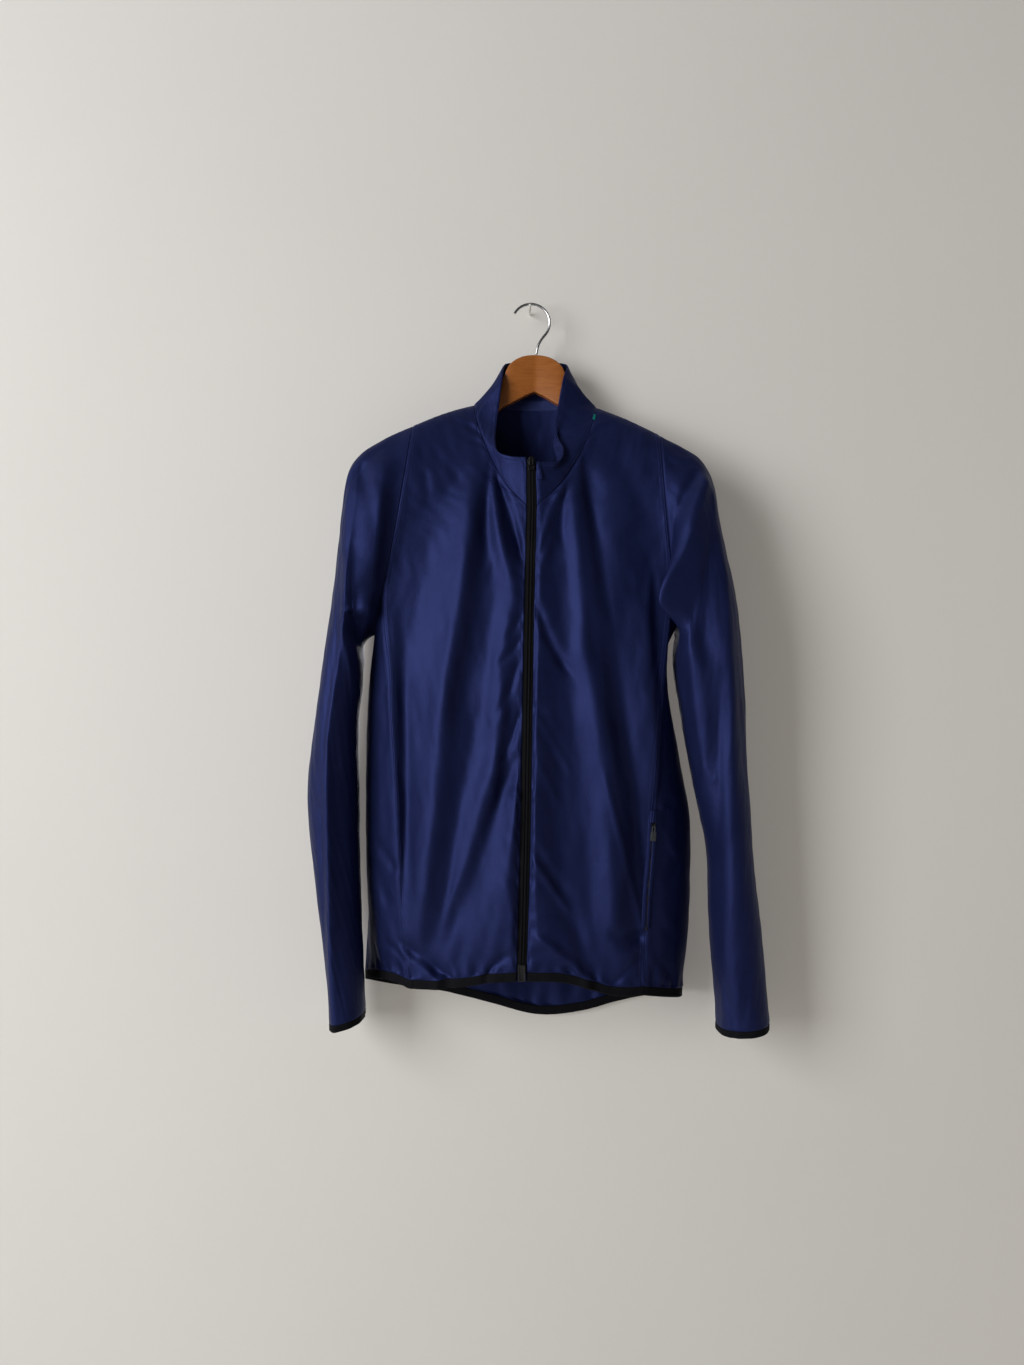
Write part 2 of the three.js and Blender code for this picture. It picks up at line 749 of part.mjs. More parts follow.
// The edge of a front with its collar, and the next column of points in from it.
function zipBorder(sheets, side) {
  const stand = sheets.collar;
  const front = sheets[`front_${side}`];
  const edge = side === 'right' ? 0 : stand[0].length - 1;
  const beside = side === 'right' ? 1 : edge - 1;
  const rows = stand.slice(1).toReversed().map((row) => [row[edge], row[beside]]);
  return [...rows, ...front.slice(neckRows).map((row) => [row[0], row[1]])];
}

function zipTape(sheets, normals, side) {
  const sign = side === 'right' ? -1 : 1;
  const middles = zipRows();
  const sections = zipBorder(sheets, side).map(([edge, beside], row) => {
    const middle = middles[row];
    const atNeck = row === collarRows || row === collarRows - 1;
    const behind = (row <= collarRows ? collarCloth : cloth) + (atNeck ? 6 : 3) * seamGap;
    const share = tapeReach / edge.distanceTo(beside);
    const edgeOut = outAt(normals, edge);
    const insideOut = edgeOut.clone().lerp(outAt(normals, beside), share);
    const lip = new THREE.Vector3(middle.x + sign * (teethHalf + 2 * seamGap), edge.y, edge.z);
    const points = [lip, edge, edge.clone().lerp(beside, share)];
    const outs = [edgeOut, edgeOut, insideOut];
    const at = (depth) => points.map((point, i) => point.clone().addScaledVector(outs[i], -depth));
    const line = at(behind);
    const back = at(behind + tapeCloth);
    return sign < 0 ? [...line, ...back.toReversed()] : [...back, ...line.toReversed()];
  });
  // Its quads split the same way as the cloth in front of it.
  return loft(sections, (row) => (row < collarRows) === (side === 'right'));
}

function zipTeeth() {
  const line = lineThrough(zipRows());
  const steps = 44;
  const top = frontSliderZ - frontSlider.height / 2 - seamGap;
  const sections = [];
  for (let step = 0; step <= steps; step += 1) {
    const middle = line.getPointAt(step / steps);
    if (middle.z < top && middle.z > zipBox.top + seamGap) {
      const corners = [[-1, 0], [-0.6, -1], [0.6, -1], [1, 0], [0.6, 1], [-0.6, 1]];
      sections.push(corners.map(([x, y]) => new THREE.Vector3(
        middle.x + x * teethHalf, middle.y + teethShift + y * teethDepth / 2, middle.z,
      )));
    }
  }
  return loft(sections.toReversed());
}

// ---- hard pieces

function box(x0, x1, y0, y1, z0, z1) {
  const geometry = new THREE.BoxGeometry(x1 - x0, y1 - y0, z1 - z0);
  return geometry.translate((x0 + x1) / 2, (y0 + y1) / 2, (z0 + z1) / 2);
}

function toManifold(geometry) {
  const bare = geometry.clone();
  bare.deleteAttribute('normal');
  bare.deleteAttribute('uv');
  const merged = mergeVertices(bare, 1e-4);
  const vertProperties = new Float32Array(merged.attributes.position.array);
  const triVerts = new Uint32Array(merged.index.array);
  return new wasm.Manifold(new wasm.Mesh({ numProp: 3, vertProperties, triVerts }));
}

function fromManifold(manifold) {
  const mesh = manifold.getMesh();
  const geometry = new THREE.BufferGeometry();
  geometry.setAttribute('position', new THREE.BufferAttribute(mesh.vertProperties, 3));
  geometry.setIndex(new THREE.BufferAttribute(mesh.triVerts, 1));
  geometry.computeVertexNormals();
  return geometry;
}

function joined(...geometries) {
  return fromManifold(geometries.map(toManifold).reduce((all, one) => all.add(one)));
}

// A plate standing in X and Z, rounded at its corners.
function plate(width, low, high, corner, window = null) {
  const half = width / 2;
  const shape = new THREE.Shape();
  shape.moveTo(-half + corner, low);
  shape.lineTo(half - corner, low);
  shape.absarc(half - corner, low + corner, corner, -Math.PI / 2, 0);
  shape.lineTo(half, high - corner);
  shape.absarc(half - corner, high - corner, corner, 0, Math.PI / 2);
  shape.lineTo(-half + corner, high);
  shape.absarc(-half + corner, high - corner, corner, Math.PI / 2, Math.PI);
  shape.lineTo(-half, low + corner);
  shape.absarc(-half + corner, low + corner, corner, Math.PI, 1.5 * Math.PI);
  if (window) {
    const [reach, from, to] = window;
    const hole = new THREE.Path();
    hole.moveTo(-reach, from).lineTo(-reach, to).lineTo(reach, to).lineTo(reach, from);
    hole.closePath();
    shape.holes.push(hole);
  }
  return shape;
}

function standing(shape, depth, y) {
  const geometry = new THREE.ExtrudeGeometry(shape, { depth, bevelEnabled: false, curveSegments: 4 });
  return geometry.rotateX(Math.PI / 2).translate(0, y + depth, 0);
}

// A plate in front with an arch on it. A front zip's has a second plate behind the teeth,
// joined to the first by the wedge that parts them.
function slider({ width, height, rear, channel, plate: thick, arch }) {
  const half = height / 2;
  const face = -channel / 2;
  const start = face - thick + 0.1;
  const reach = height / 4;
  const leg = (z) => box(-0.8, 0.8, start - arch, start, z, z + archBar);
  const crown = box(-0.8, 0.8, start - arch, start - arch + archBar, -reach, reach);
  const pieces = [standing(plate(width, -half, half, width / 4), thick, face - thick)];
  if (rear > 0) {
    pieces.push(standing(plate(rear, -half, half, rear / 4), thick, -face));
    pieces.push(box(-1, 1, face - 0.1, 0.1 - face, half - 3.2, half - 0.4));
  }
  return joined(...pieces, leg(reach - 0.01), leg(-reach - archBar + 0.01), crown);
}

// The bar that a pull turns on lies at the pull's own origin, and the tab reaches up from it.
function pull({ width, length, window, bar, thick }) {
  const shape = plate(width, -bar / 2, length, width / 4, [1.25, bar / 2, window]);
  return standing(shape, thick, -thick / 2);
}

function pivotDepth({ channel, plate: thick, arch }) {
  return -channel / 2 - thick - (arch - archBar) / 2;
}

function hangerWood() {
  const rows = hangerSections;
  const stations = [...rows.slice(1).toReversed().map((row) => [row, -1]), ...rows.map((row) => [row, 1])];
  const sections = stations.map(([{ reach, top, bottom, half }, sign]) => {
    const y = -hanger.sweep * reach - hanger.curl * reach ** 2;
    const edge = Math.min(4, (top - bottom) / 3);
    const outline = [
      [-1, bottom + edge], [-0.7, bottom + 1], [0, bottom], [0.7, bottom + 1], [1, bottom + edge],
      [1, top - edge], [0.7, top - 1], [0, top], [-0.7, top - 1], [-1, top - edge],
    ];
    return outline.map(([aside, z]) => new THREE.Vector3(sign * reach, y + aside * half, z));
  });
  return loft(sections);
}

function hookWire() {
  const points = hookShank.map(({ x, z }) => new THREE.Vector3(x, 0, z));
  for (let angle = hook.from; angle <= hook.to; angle += 13) {
    const x = hook.middleX + hook.radius * Math.cos(degToRad(angle));
    const z = hook.middleZ + hook.radius * Math.sin(degToRad(angle));
    points.push(new THREE.Vector3(x, 0, z));
  }
  const section = new THREE.Shape().absarc(0, 0, wireRadius, 0, 2 * Math.PI);
  const path = new THREE.CatmullRomCurve3(points);
  return new THREE.ExtrudeGeometry(section, { steps: 48, curveSegments: 4, extrudePath: path });
}

// The strip of the pocket zip lies over the side seam, a little out from both panels.
function pocketSection(sheets, normals, row) {
  const first = Math.min(Math.floor(row), sideRows - 1);
  const share = row - first;
  const front = sheets.front_left;
  const side = sheets.side_left;
  const mixed = (a, b) => a.clone().lerp(b, share);
  const seam = mixed(side[first][0], side[first + 1][0]);
  const outs = [first, first + 1].map((k) => outAt(normals, side[k][0]).normalize());
  const body = [first, first + 1].map((k) => front[armRows + k][shoulderColumns - 1]);
  return {
    seam,
    out: mixed(outs[0], outs[1]).normalize(),
    toFront: mixed(body[0], body[1]).sub(seam).setLength(pocketZip.half),
    toSide: mixed(side[first][1], side[first + 1][1]).sub(seam).setLength(pocketZip.half),
    rise: side[first][0].clone().sub(side[first + 1][0]).normalize(),
  };
}

function pocketStrip(sheets, normals) {
  const { fromRow, toRow, thick } = pocketZip;
  const rows = [fromRow];
  for (let row = Math.ceil(fromRow); row < toRow; row += 1) {
    rows.push(row);
  }
  rows.push(toRow);
  const sections = rows.map((row) => {
    const { seam, out, toFront, toSide } = pocketSection(sheets, normals, row);
    const line = [seam.clone().add(toFront), seam, seam.clone().add(toSide)];
    const near = line.map((point) => point.clone().addScaledVector(out, 2 * seamGap));
    const far = line.map((point) => point.clone().addScaledVector(out, 2 * seamGap + thick));
    return [...near, ...far.toReversed()];
  });
  return loft(sections);
}

// ---- finishes

function finish(color, roughness, metalness = 0) {
  return new THREE.MeshStandardMaterial({ color, roughness, metalness, side: THREE.DoubleSide });
}

const navyCloth = () => finish(0x1d2450, 0.62);
const blackElastic = () => finish(0x14161c, 0.85);
const blackTape = () => finish(0x15161a, 0.8);
const blackZip = () => finish(0x1b1c20, 0.45);
const greyRubber = () => finish(0x5d6067, 0.6);
const paleWood = () => finish(0xd29a5c, 0.5);
const chromeWire = () => finish(0xc9ccd1, 0.22, 1);

// ---- the jacket

const jacket = new THREE.Group();

function add(name, geometry, material) {
  const mesh = new THREE.Mesh(geometry, material);
  mesh.name = name;
  jacket.add(mesh);
  return mesh;
}

const sleeves = { right: sleeve('right'), left: sleeve('left') };

const sheets = {
  front_right: frontPanel('right'),
  front_left: frontPanel('left'),
  side_right: sidePanel('right'),
  side_left: sidePanel('left'),
  back: backPanel(),
  sleeve_front_right: sleeveHalf(sleeves.right, 'front'),
  sleeve_back_right: sleeveHalf(sleeves.right, 'back'),
  sleeve_front_left: sleeveHalf(sleeves.left, 'front'),
  sleeve_back_left: sleeveHalf(sleeves.left, 'back'),
  collar: collar(),
};

const bindings = {
  hem_binding: bindingUnder(hemEdge(sheets), hemHeight),
  cuff_binding_right: bindingUnder(lastRow(sleeves.right), cuffHeight),
  cuff_binding_left: bindingUnder(lastRow(sleeves.left), cuffHeight),
};

const panels = {
  front_right: { grid: sheets.front_right, turned: false },
  front_left: { grid: sheets.front_left, turned: true },
  side_right: { grid: sheets.side_right, turned: false },
  side_left: { grid: sheets.side_left, turned: true },
  back: { grid: sheets.back, turned: false },
  sleeve_front_right: { grid: sheets.sleeve_front_right, turned: true },
  sleeve_back_right: { grid: sheets.sleeve_back_right, turned: true },
  sleeve_front_left: { grid: sheets.sleeve_front_left, turned: false },
  sleeve_back_left: { grid: sheets.sleeve_back_left, turned: false },
  collar: { grid: sheets.collar, turned: true, thickness: collarCloth },
  hem_binding: { grid: bindings.hem_binding, turned: false, edge: true },
  cuff_binding_right: { grid: bindings.cuff_binding_right, turned: true, round: true, edge: true },
  cuff_binding_left: { grid: bindings.cuff_binding_left, turned: false, round: true, edge: true },
};

const normals = seamNormals(panels);
for (const [name, panel] of Object.entries(panels)) {
  const bound = { thickness: bindingCloth, proud: (bindingCloth - cloth) / 2 };
  const sizes = panel.edge ? bound : { thickness: cloth };
  const material = panel.edge ? blackElastic() : navyCloth();
  add(name, wall({ ...sizes, ...panel }, normals), material);
}

add('zip_tape_right', zipTape(sheets, normals, 'right'), blackTape());
add('zip_tape_left', zipTape(sheets, normals, 'left'), blackTape());
add('zip_teeth', zipTeeth(), blackZip());

const zipTop = lineThrough(zipRows()).getPointAt(0);
const sliderPlace = new THREE.Vector3(zipTop.x, zipTop.y + teethShift, frontSliderZ);
add('zip_slider', slider(frontSlider), blackZip()).position.copy(sliderPlace);

const frontTab = add('zip_pull', pull(frontPull), blackZip());
frontTab.position.copy(sliderPlace).add(new THREE.Vector3(0, pivotDepth(frontSlider), 0));
frontTab.rotation.x = degToRad(frontPull.turn);

const zipFoot = creasedBody(lineThrough(pointsOf(zipLine)).getPointAt(1));
const foot = standing(plate(2 * zipBox.half, -zipBox.height, 0, 1.5), zipBox.thick, -zipBox.thick + 1);
add('zip_box', foot, blackZip()).position.set(zipFoot.x, zipFoot.y, zipBox.top);

const garage = standing(plate(zipGarage.width, -zipGarage.height / 2, zipGarage.height / 2, 2.4),
  zipGarage.thick, -zipGarage.thick);
const garageMesh = add('zip_garage', garage, navyCloth());
garageMesh.position.set(zipGarage.x, zipTop.y - seamGap, zipGarage.z);
garageMesh.rotation.z = degToRad(zipGarage.turn);

add('pocket_zip', pocketStrip(sheets, normals), blackTape());
const pocketPlace = pocketSection(sheets, normals, pocketZip.sliderRow);
const pocketBack = pocketPlace.out.clone().negate();
const pocketSide = new THREE.Vector3().crossVectors(pocketBack, pocketPlace.rise).normalize();
const pocketUp = new THREE.Vector3().crossVectors(pocketSide, pocketBack);
const pocketTurn = new THREE.Matrix4().makeBasis(pocketSide, pocketBack, pocketUp);
const pocketGroup = new THREE.Group();
pocketGroup.setRotationFromMatrix(pocketTurn);
pocketGroup.position.copy(pocketPlace.seam);
pocketGroup.position.addScaledVector(pocketPlace.out, 3 * seamGap + pocketZip.thick);
pocketGroup.add(add('pocket_slider', slider(pocketSlider), blackZip()));
const pocketTab = add('pocket_pull', pull(pocketPull), greyRubber());
pocketTab.position.y = pivotDepth(pocketSlider);
pocketTab.rotation.x = degToRad(pocketPull.turn);
pocketGroup.add(pocketTab);
jacket.add(pocketGroup);

const wood = add('hanger', hangerWood(), paleWood());
wood.position.set(hanger.crownX, 0, hanger.crownZ);
wood.rotation.y = degToRad(hanger.tilt);
add('hanger_hook', hookWire(), chromeWire());

export default jacket;
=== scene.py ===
import math

import bmesh
import bpy
import numpy as np
from mathutils import Matrix, Vector


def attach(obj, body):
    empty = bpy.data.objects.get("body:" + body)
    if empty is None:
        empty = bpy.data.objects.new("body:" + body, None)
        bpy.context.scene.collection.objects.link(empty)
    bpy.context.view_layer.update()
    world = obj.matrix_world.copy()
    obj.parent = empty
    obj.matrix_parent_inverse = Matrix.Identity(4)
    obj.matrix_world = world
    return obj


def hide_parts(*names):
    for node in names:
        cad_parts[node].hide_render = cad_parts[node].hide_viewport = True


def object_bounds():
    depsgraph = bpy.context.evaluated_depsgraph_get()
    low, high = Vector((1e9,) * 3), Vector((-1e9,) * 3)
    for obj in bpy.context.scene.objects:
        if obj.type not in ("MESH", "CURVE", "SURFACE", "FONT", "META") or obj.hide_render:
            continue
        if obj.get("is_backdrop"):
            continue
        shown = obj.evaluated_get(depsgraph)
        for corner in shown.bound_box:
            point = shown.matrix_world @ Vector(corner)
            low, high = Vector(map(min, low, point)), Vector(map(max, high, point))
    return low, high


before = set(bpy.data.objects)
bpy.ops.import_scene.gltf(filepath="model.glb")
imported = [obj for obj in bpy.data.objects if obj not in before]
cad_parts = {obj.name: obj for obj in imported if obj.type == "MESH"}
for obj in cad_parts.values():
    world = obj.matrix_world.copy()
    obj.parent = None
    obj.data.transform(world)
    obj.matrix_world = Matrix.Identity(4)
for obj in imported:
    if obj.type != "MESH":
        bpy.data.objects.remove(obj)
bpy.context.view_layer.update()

# A zipped track jacket on a contoured wooden hanger. Tables are in millimetres: x runs to
# the wearer's left, y to the back and z up, from the inside top of the hook.

mm = 0.001

# How finely the cloth is made, and how thick it is.
mesh = {
    "rowStep": 3.4,         # between rows, away from seams
    "edgeSteps": [0, 0.7, 1.4, 2.1, 2.8, 3.6, 4.5, 5.6, 7, 9, 11.5],  # rows beside a seam
    "cloth": 1.0,
    "collarCloth": 1.9,
    "bindingCloth": 2.1,
}

# The lines that the cloth is cut and sewn along.
shoulderLine = {
    "right": [
        (-67, -10, -123), (-90, -13.5, -129.5), (-114, -17.7, -139), (-138, -22.3, -151),
    ],
    "left": [
        (79, -9.5, -126), (103, -13.3, -135.5), (128, -17.7, -148), (152, -22.3, -162),
    ],
}
neckLine = {
    "right": [
        (-67, -10, -123), (-65.5, -19, -131.5), (-60.5, -30, -152), (-51.5, -40.5, -178),
        (-40, -49, -204), (-26.5, -56, -227),
    ],
    "left": [
        (79, -9.5, -126), (77, -19, -134.5), (70.5, -30, -156), (60, -40.5, -183),
        (47, -48.5, -206), (31, -56, -228),
    ],
}
neckBackLine = [
    (-67, -10, -123), (-53, 2.5, -119.5), (-34, 7, -119.5), (-14, 10, -120.5), (6, 11, -121),
    (26, 10, -121), (46, 7, -121), (65, 2.5, -122), (79, -9.5, -126),
]
zipLine = [
    (1, -62, -250), (-0.8, -71, -314), (-2.8, -79, -400), (-4.6, -84, -500), (-6.2, -86.5, -600),
    (-8.2, -86, -690), (-10.6, -82, -780),
]
sideLines = {
    "right": {
        "front": [
            (-167, -61, -396), (-161, -62, -440), (-159.5, -62, -494), (-155.5, -63, -552),
            (-151, -64, -650), (-149.5, -64, -706), (-145, -62, -758), (-140, -60, -794),
        ],
        "middle": [
            (-187, -24, -430), (-191, -24, -465), (-192.5, -24, -520), (-192.5, -24, -612),
            (-191, -23, -664), (-187, -24, -716), (-179, -27, -762), (-170, -30, -792),
        ],
        "back": [
            (-180, 15, -396), (-186, 15, -460), (-188, 16, -550), (-190, 16, -640),
            (-192, 15, -700), (-196, 12, -750), (-199, 9, -801),
        ],
    },
    "left": {
        "front": [
            (157.5, -60, -404), (151, -62, -462), (145.5, -63, -520), (141, -64, -580),
            (137.5, -65, -645), (133, -65, -700), (131, -64, -745), (129, -62, -801),
        ],
        "middle": [
            (158, -24, -420), (158.5, -24, -452), (168, -24, -500), (178, -24, -556),
            (186, -24, -606), (187, -24, -660), (184.5, -24, -727), (180, -24, -780),
            (176, -20, -815),
        ],
        "back": [
            (160, 14, -400), (158, 15, -450), (166, 16, -520), (176, 16, -600), (180, 16, -680),
            (180, 16, -750), (177, 14, -818),
        ],
    },
}
hemLines = {
    "right": [(-46, -79, -782.5), (-78, -74.5, -788.5), (-110, -68, -793)],
    "left": [(28, -79, -781), (56, -76, -787), (92, -70, -799)],
    "back": [
        (-199, 9, -801), (-156, 14, -810), (-106, 18, -818), (-50, 19, -832), (8, 20, -847),
        (60, 19, -843), (104, 18, -831), (140, 17, -823), (177, 14, -818),
    ],
}
# Sections of each sleeve, armhole to cuff: its outer and inner edge in x and z, the depth of
# its middle, how far it stands out to the front and back, then how square, how low and how
# bowed it is.
sleeveSections = {
    "right": [
        (-138, -151, -182, -396, -22.3, 39, 36, 2.5, 1.4, 5),
        (-171, -167, -187, -399, -29, 42, 40, 2.5, 1.6, 3),
        (-197, -185, -191, -403, -34, 45, 43, 2.4, 1.5, 1),
        (-212, -207, -195, -409, -36, 47, 45, 2.3, 1.4, 0),
        (-219, -249, -197, -418, -37, 48, 47, 2.3, 1.3, 0),
        (-223, -290, -196, -434, -37, 49, 48, 2.2, 1.2, 0),
        (-229, -344, -197, -458, -37, 49, 48, 2.2, 1.1, 0),
        (-239, -415, -201, -492, -36, 49, 47, 2.2, 1, 0),
        (-249, -487, -202, -532, -35, 49, 46, 2.2, 1, 0),
        (-259, -566, -201, -576, -33, 48, 45, 2.2, 1, 0),
        (-258, -620, -201, -626, -31, 46, 44, 2.2, 1, 0),
        (-252, -678, -200, -680, -30, 44, 42, 2.2, 1, 0),
        (-244, -745, -198, -744, -29, 42, 40, 2.2, 1, 0),
        (-238, -803, -196, -798, -28, 40, 38, 2.2, 1, 0),
        (-235, -848, -195, -839, -27, 38, 36, 2.2, 1, 0),
    ],
    "left": [
        (152, -162, 171, -388, -22.3, 39, 36, 2.5, 1.4, 4),
        (176, -176, 172, -394, -30, 42, 40, 2.5, 1.6, 3),
        (199, -193, 172, -400, -34, 45, 43, 2.4, 1.5, 1),
        (213, -219, 170, -408, -37, 47, 45, 2.3, 1.4, 0),
        (220, -262, 168, -418, -37, 48, 47, 2.3, 1.3, 0),
        (228, -302, 167, -434, -38, 49, 48, 2.2, 1.2, 0),
        (238, -350, 170, -458, -38, 49, 48, 2.2, 1.1, 0),
        (245, -412, 177, -500, -37, 48, 47, 2.2, 1, 0),
        (249, -472, 185, -544, -36, 47, 45, 2.2, 1, 0),
        (251, -536, 192, -578, -35, 46, 44, 2.2, 1, 0),
        (255, -596, 199, -610, -34, 45, 43, 2.2, 1, 0),
        (259, -652, 207, -652, -33, 43, 41, 2.2, 1, 0),
        (265, -708, 209, -708, -32, 42, 39, 2.2, 1, 0),
        (272, -768, 212, -768, -30, 40, 37, 2.2, 1, 0),
        (277, -822, 217, -822, -29, 38, 36, 2.2, 1, 0),
        (279, -850, 219, -854, -28, 37, 35, 2.2, 1, 0),
    ],
}
collarTopLine = [
    (-5.3, -66, -196), (-24, -63, -194.5), (-37, -55, -188), (-41, -44, -173), (-40, -31, -150),
    (-37, -24, -122), (-33.5, -19, -94), (-31, -3, -72.5), (-20, 8.5, -67), (-6, 12.5, -63.5),
    (8, 13.5, -62), (22, 12.5, -63.5), (35, 8.5, -67), (45, -3.5, -73.5), (39.5, -19, -93),
    (34, -24, -122), (29, -30, -146), (32, -38, -164), (40, -51, -183), (33, -61, -199),
    (6.3, -66, -202),
]

# Folds: x0 z0 x1 z1 bow width depth. A positive depth is a ridge, a negative one a trough.
bodyFolds = {
    "front": [
        (-53, -215, -82, -470, -4, 13, -5), (-82, -470, -118, -742, 6, 15, -5),
        (-66, -230, -96, -480, -4, 14, 5), (-96, -480, -122, -720, 0, 18, 6),
        (-37, -222, -10, -306, 3, 7, -3.5), (-44, -226, -26, -330, 4, 7, 3),
        (-12, -425, -46, -510, 0, 9, 3), (-19, -543, -92, -728, 8, 13, -5),
        (-36, -540, -80, -700, 6, 13, 4), (-146, -430, -140, -690, 0, 8, -4),
        (-142, -752, -94, -786, 0, 8, -4), (64, -218, 78, -412, 4, 13, -5),
        (78, -412, 122, -680, -6, 15, -6), (47, -230, 58, -420, -2, 12, 5),
        (58, -420, 90, -735, -12, 17, 6), (98, -250, 118, -560, 4, 22, 4),
        (5, -484, 38, -552, 0, 8, -3), (6, -640, 34, -690, 0, 8, -3),
        (28, -560, 40, -720, 4, 16, -4), (43, -716, 74, -786, 0, 9, -4),
        (100, -752, 130, -738, 0, 7, -3),
    ],
    "back": [
        (-52, -190, -78, -520, -6, 18, 5), (-30, -210, -34, -640, 4, 16, -4),
        (-120, -300, -98, -720, 8, 20, 5), (-150, -380, -140, -780, 0, 14, -4),
        (56, -200, 72, -560, 6, 18, 5), (28, -230, 20, -700, -4, 16, -4),
        (118, -320, 104, -760, -8, 20, 5), (148, -400, 140, -780, 0, 14, -4),
        (-20, -700, 4, -832, 0, 14, 4), (64, -720, 52, -826, 0, 12, 3),
    ],
}
sleeveFolds = {
    "right": {
        "front": [
            (-196, -206, -172, -312, -6, 9, -4), (-208, -213, -210, -340, 3, 9, 3),
            (-206, -380, -176, -384, 0, 8, -5), (-232, -530, -227, -840, 0, 7, 4),
            (-248, -500, -246, -600, 0, 8, -3),
        ],
        "back": [
            (-205, -260, -215, -420, 0, 12, 4), (-236, -520, -226, -800, 0, 10, -4),
        ],
    },
    "left": {
        "front": [
            (202, -212, 150, -352, 8, 12, 5), (206, -214, 230, -470, -4, 9, 4),
            (176, -300, 196, -420, 6, 12, -5), (212, -470, 208, -740, 0, 9, -4),
            (238, -400, 244, -560, 0, 9, -4),
        ],
        "back": [(205, -260, 226, -430, 0, 12, 4), (232, -520, 244, -800, 0, 10, -4)],
    },
}
# Short creases, given as the folds are.
bodyCreases = [
    (-39, -216, -10, -313, -2.3, 4, -4.5), (-11, -377, -27, -405, 0, 2.9, -1.8),
    (-12, -405, -35, -432, 0, 3, -2.7), (-14, -432, -38, -489, -1.1, 4, -3.75),
    (-12, -486, -32, -540, -1.1, 4.6, -3.75), (-148, -753, -93, -790, 2.3, 4.6, -4.5),
    (-164, -755, -144, -774, 0, 4.6, -3.75), (-130, -768, -104, -795, 0, 4.6, 3),
    (-27, -760, -55, -790, 2.3, 3.4, -3.9), (38, -226, 12, -293, 2.3, 4.6, 3.75),
    (25, -284, 14, -316, 0, 3.4, 2.25), (40, -230, 36, -295, 2.3, 3.4, -2.25),
    (8, -365, 41, -439, 4.6, 5.2, -4.5), (8, -491, 43, -553, 0, 4.6, 2.4),
    (12, -548, 29, -588, 0, 4, 1.8), (8, -631, 29, -668, 0, 4, 1.5),
    (4, -654, 40, -708, 0, 3.4, 3.75), (6, -739, 69, -795, -3.4, 4.6, 5.25),
    (86, -570, 126, -731, 0, 3.4, 3), (91, -738, 128, -746, 0, 6.9, -5.25),
    (107, -755, 126, -747, 0, 3.4, -2.25), (126, -765, 95, -795, 0, 3.4, -3),
    (-70, -209, -135, -269, 0, 11.5, -1.95), (-122, -209, -118, -244, 0, 5.7, -1.2),
    (-150, -209, -104, -192, 0, 8, -0.9), (68, -209, 79, -244, 0, 9.2, -1.05),
    (102, -192, 136, -267, 0, 11.5, -1.35), (84, -221, 139, -209, 0, 9.2, 0.9),
    (139, -307, 125, -358, 0, 8, -1.5), (142, -330, 139, -404, 0, 3.4, -1.5),
    (142, -421, 134, -462, 0, 2.9, -1.8), (148, -595, 162, -601, 0, 3.4, 1.8),
    (162, -588, 153, -617, 0, 4.6, -1.8), (157, -622, 173, -654, 3.4, 5.7, 1.95),
    (176, -659, 160, -693, 2.3, 5.7, -1.95), (148, -702, 166, -737, 2.3, 6.9, 1.65),
    (157, -742, 176, -760, 0, 5.7, -1.8), (139, -765, 157, -803, 2.3, 5.7, 2.1),
    (153, -777, 169, -808, 0, 4.6, -2.1), (-182, -636, -154, -668, 0, 5.7, -2.4),
    (-184, -659, -164, -708, 2.3, 6.9, -2.4), (-180, -702, -154, -769, 0, 8, 2.25),
    (-173, -737, -159, -788, 0, 5.7, -2.25),
]
sleeveCreases = {
    "right": [
        (-176, -217, -156, -242, 0, 6.9, -1.2), (-209, -302, -169, -323, -2.3, 5.8, -1.3),
        (-169, -324, -206, -358, -5.8, 5.8, -2.5), (-211, -374, -169, -369, 1.2, 4.5, 5),
        (-206, -390, -169, -392, 0, 9.2, -8), (-213, -396, -200, -476, -2.3, 3.5, 2),
        (-201, -427, -198, -480, 0, 3.5, -2), (-174, -180, -137, -178, 0, 3.5, -0.9),
        (-183, -190, -139, -194, 0, 3.5, -0.8), (-153, -164, -139, -173, 0, 3.5, -0.8),
        (-248, -506, -249, -591, 0, 2.3, -0.8), (-253, -560, -238, -589, 0, 5.8, 1.2),
        (-254, -594, -236, -577, 0, 4.6, -1), (-236, -629, -235, -756, 0, 4.6, -2),
    ],
    "left": [
        (194, -210, 163, -302, 3.5, 6.9, -4), (200, -214, 184, -277, 1.2, 4.6, 2),
        (179, -344, 157, -359, 0, 3.5, -2.5), (159, -358, 159, -374, 0, 3.5, -3),
        (154, -418, 175, -478, 0, 3.5, 2.5), (159, -415, 177, -469, 0, 3.5, -2.5),
        (154, -205, 196, -198, 0, 4.6, -1.2), (154, -187, 184, -194, 0, 4.6, 0.8),
        (212, -462, 213, -577, 0, 1.8, -0.9), (213, -577, 209, -756, -1.2, 1.8, -0.9),
        (227, -312, 248, -531, 1.2, 2.5, 2.4), (231, -312, 251, -531, 1.2, 3.5, -2),
        (207, -760, 234, -859, -3.5, 2.3, -1.5), (202, -779, 221, -831, 0, 3.5, 1),
        (196, -548, 209, -566, 0, 5.8, 1), (230, -774, 237, -820, 0, 6.9, 1),
        (244, -820, 239, -854, 0, 6.9, -1), (256, -768, 260, -831, 0, 8.1, -0.8),
    ],
}

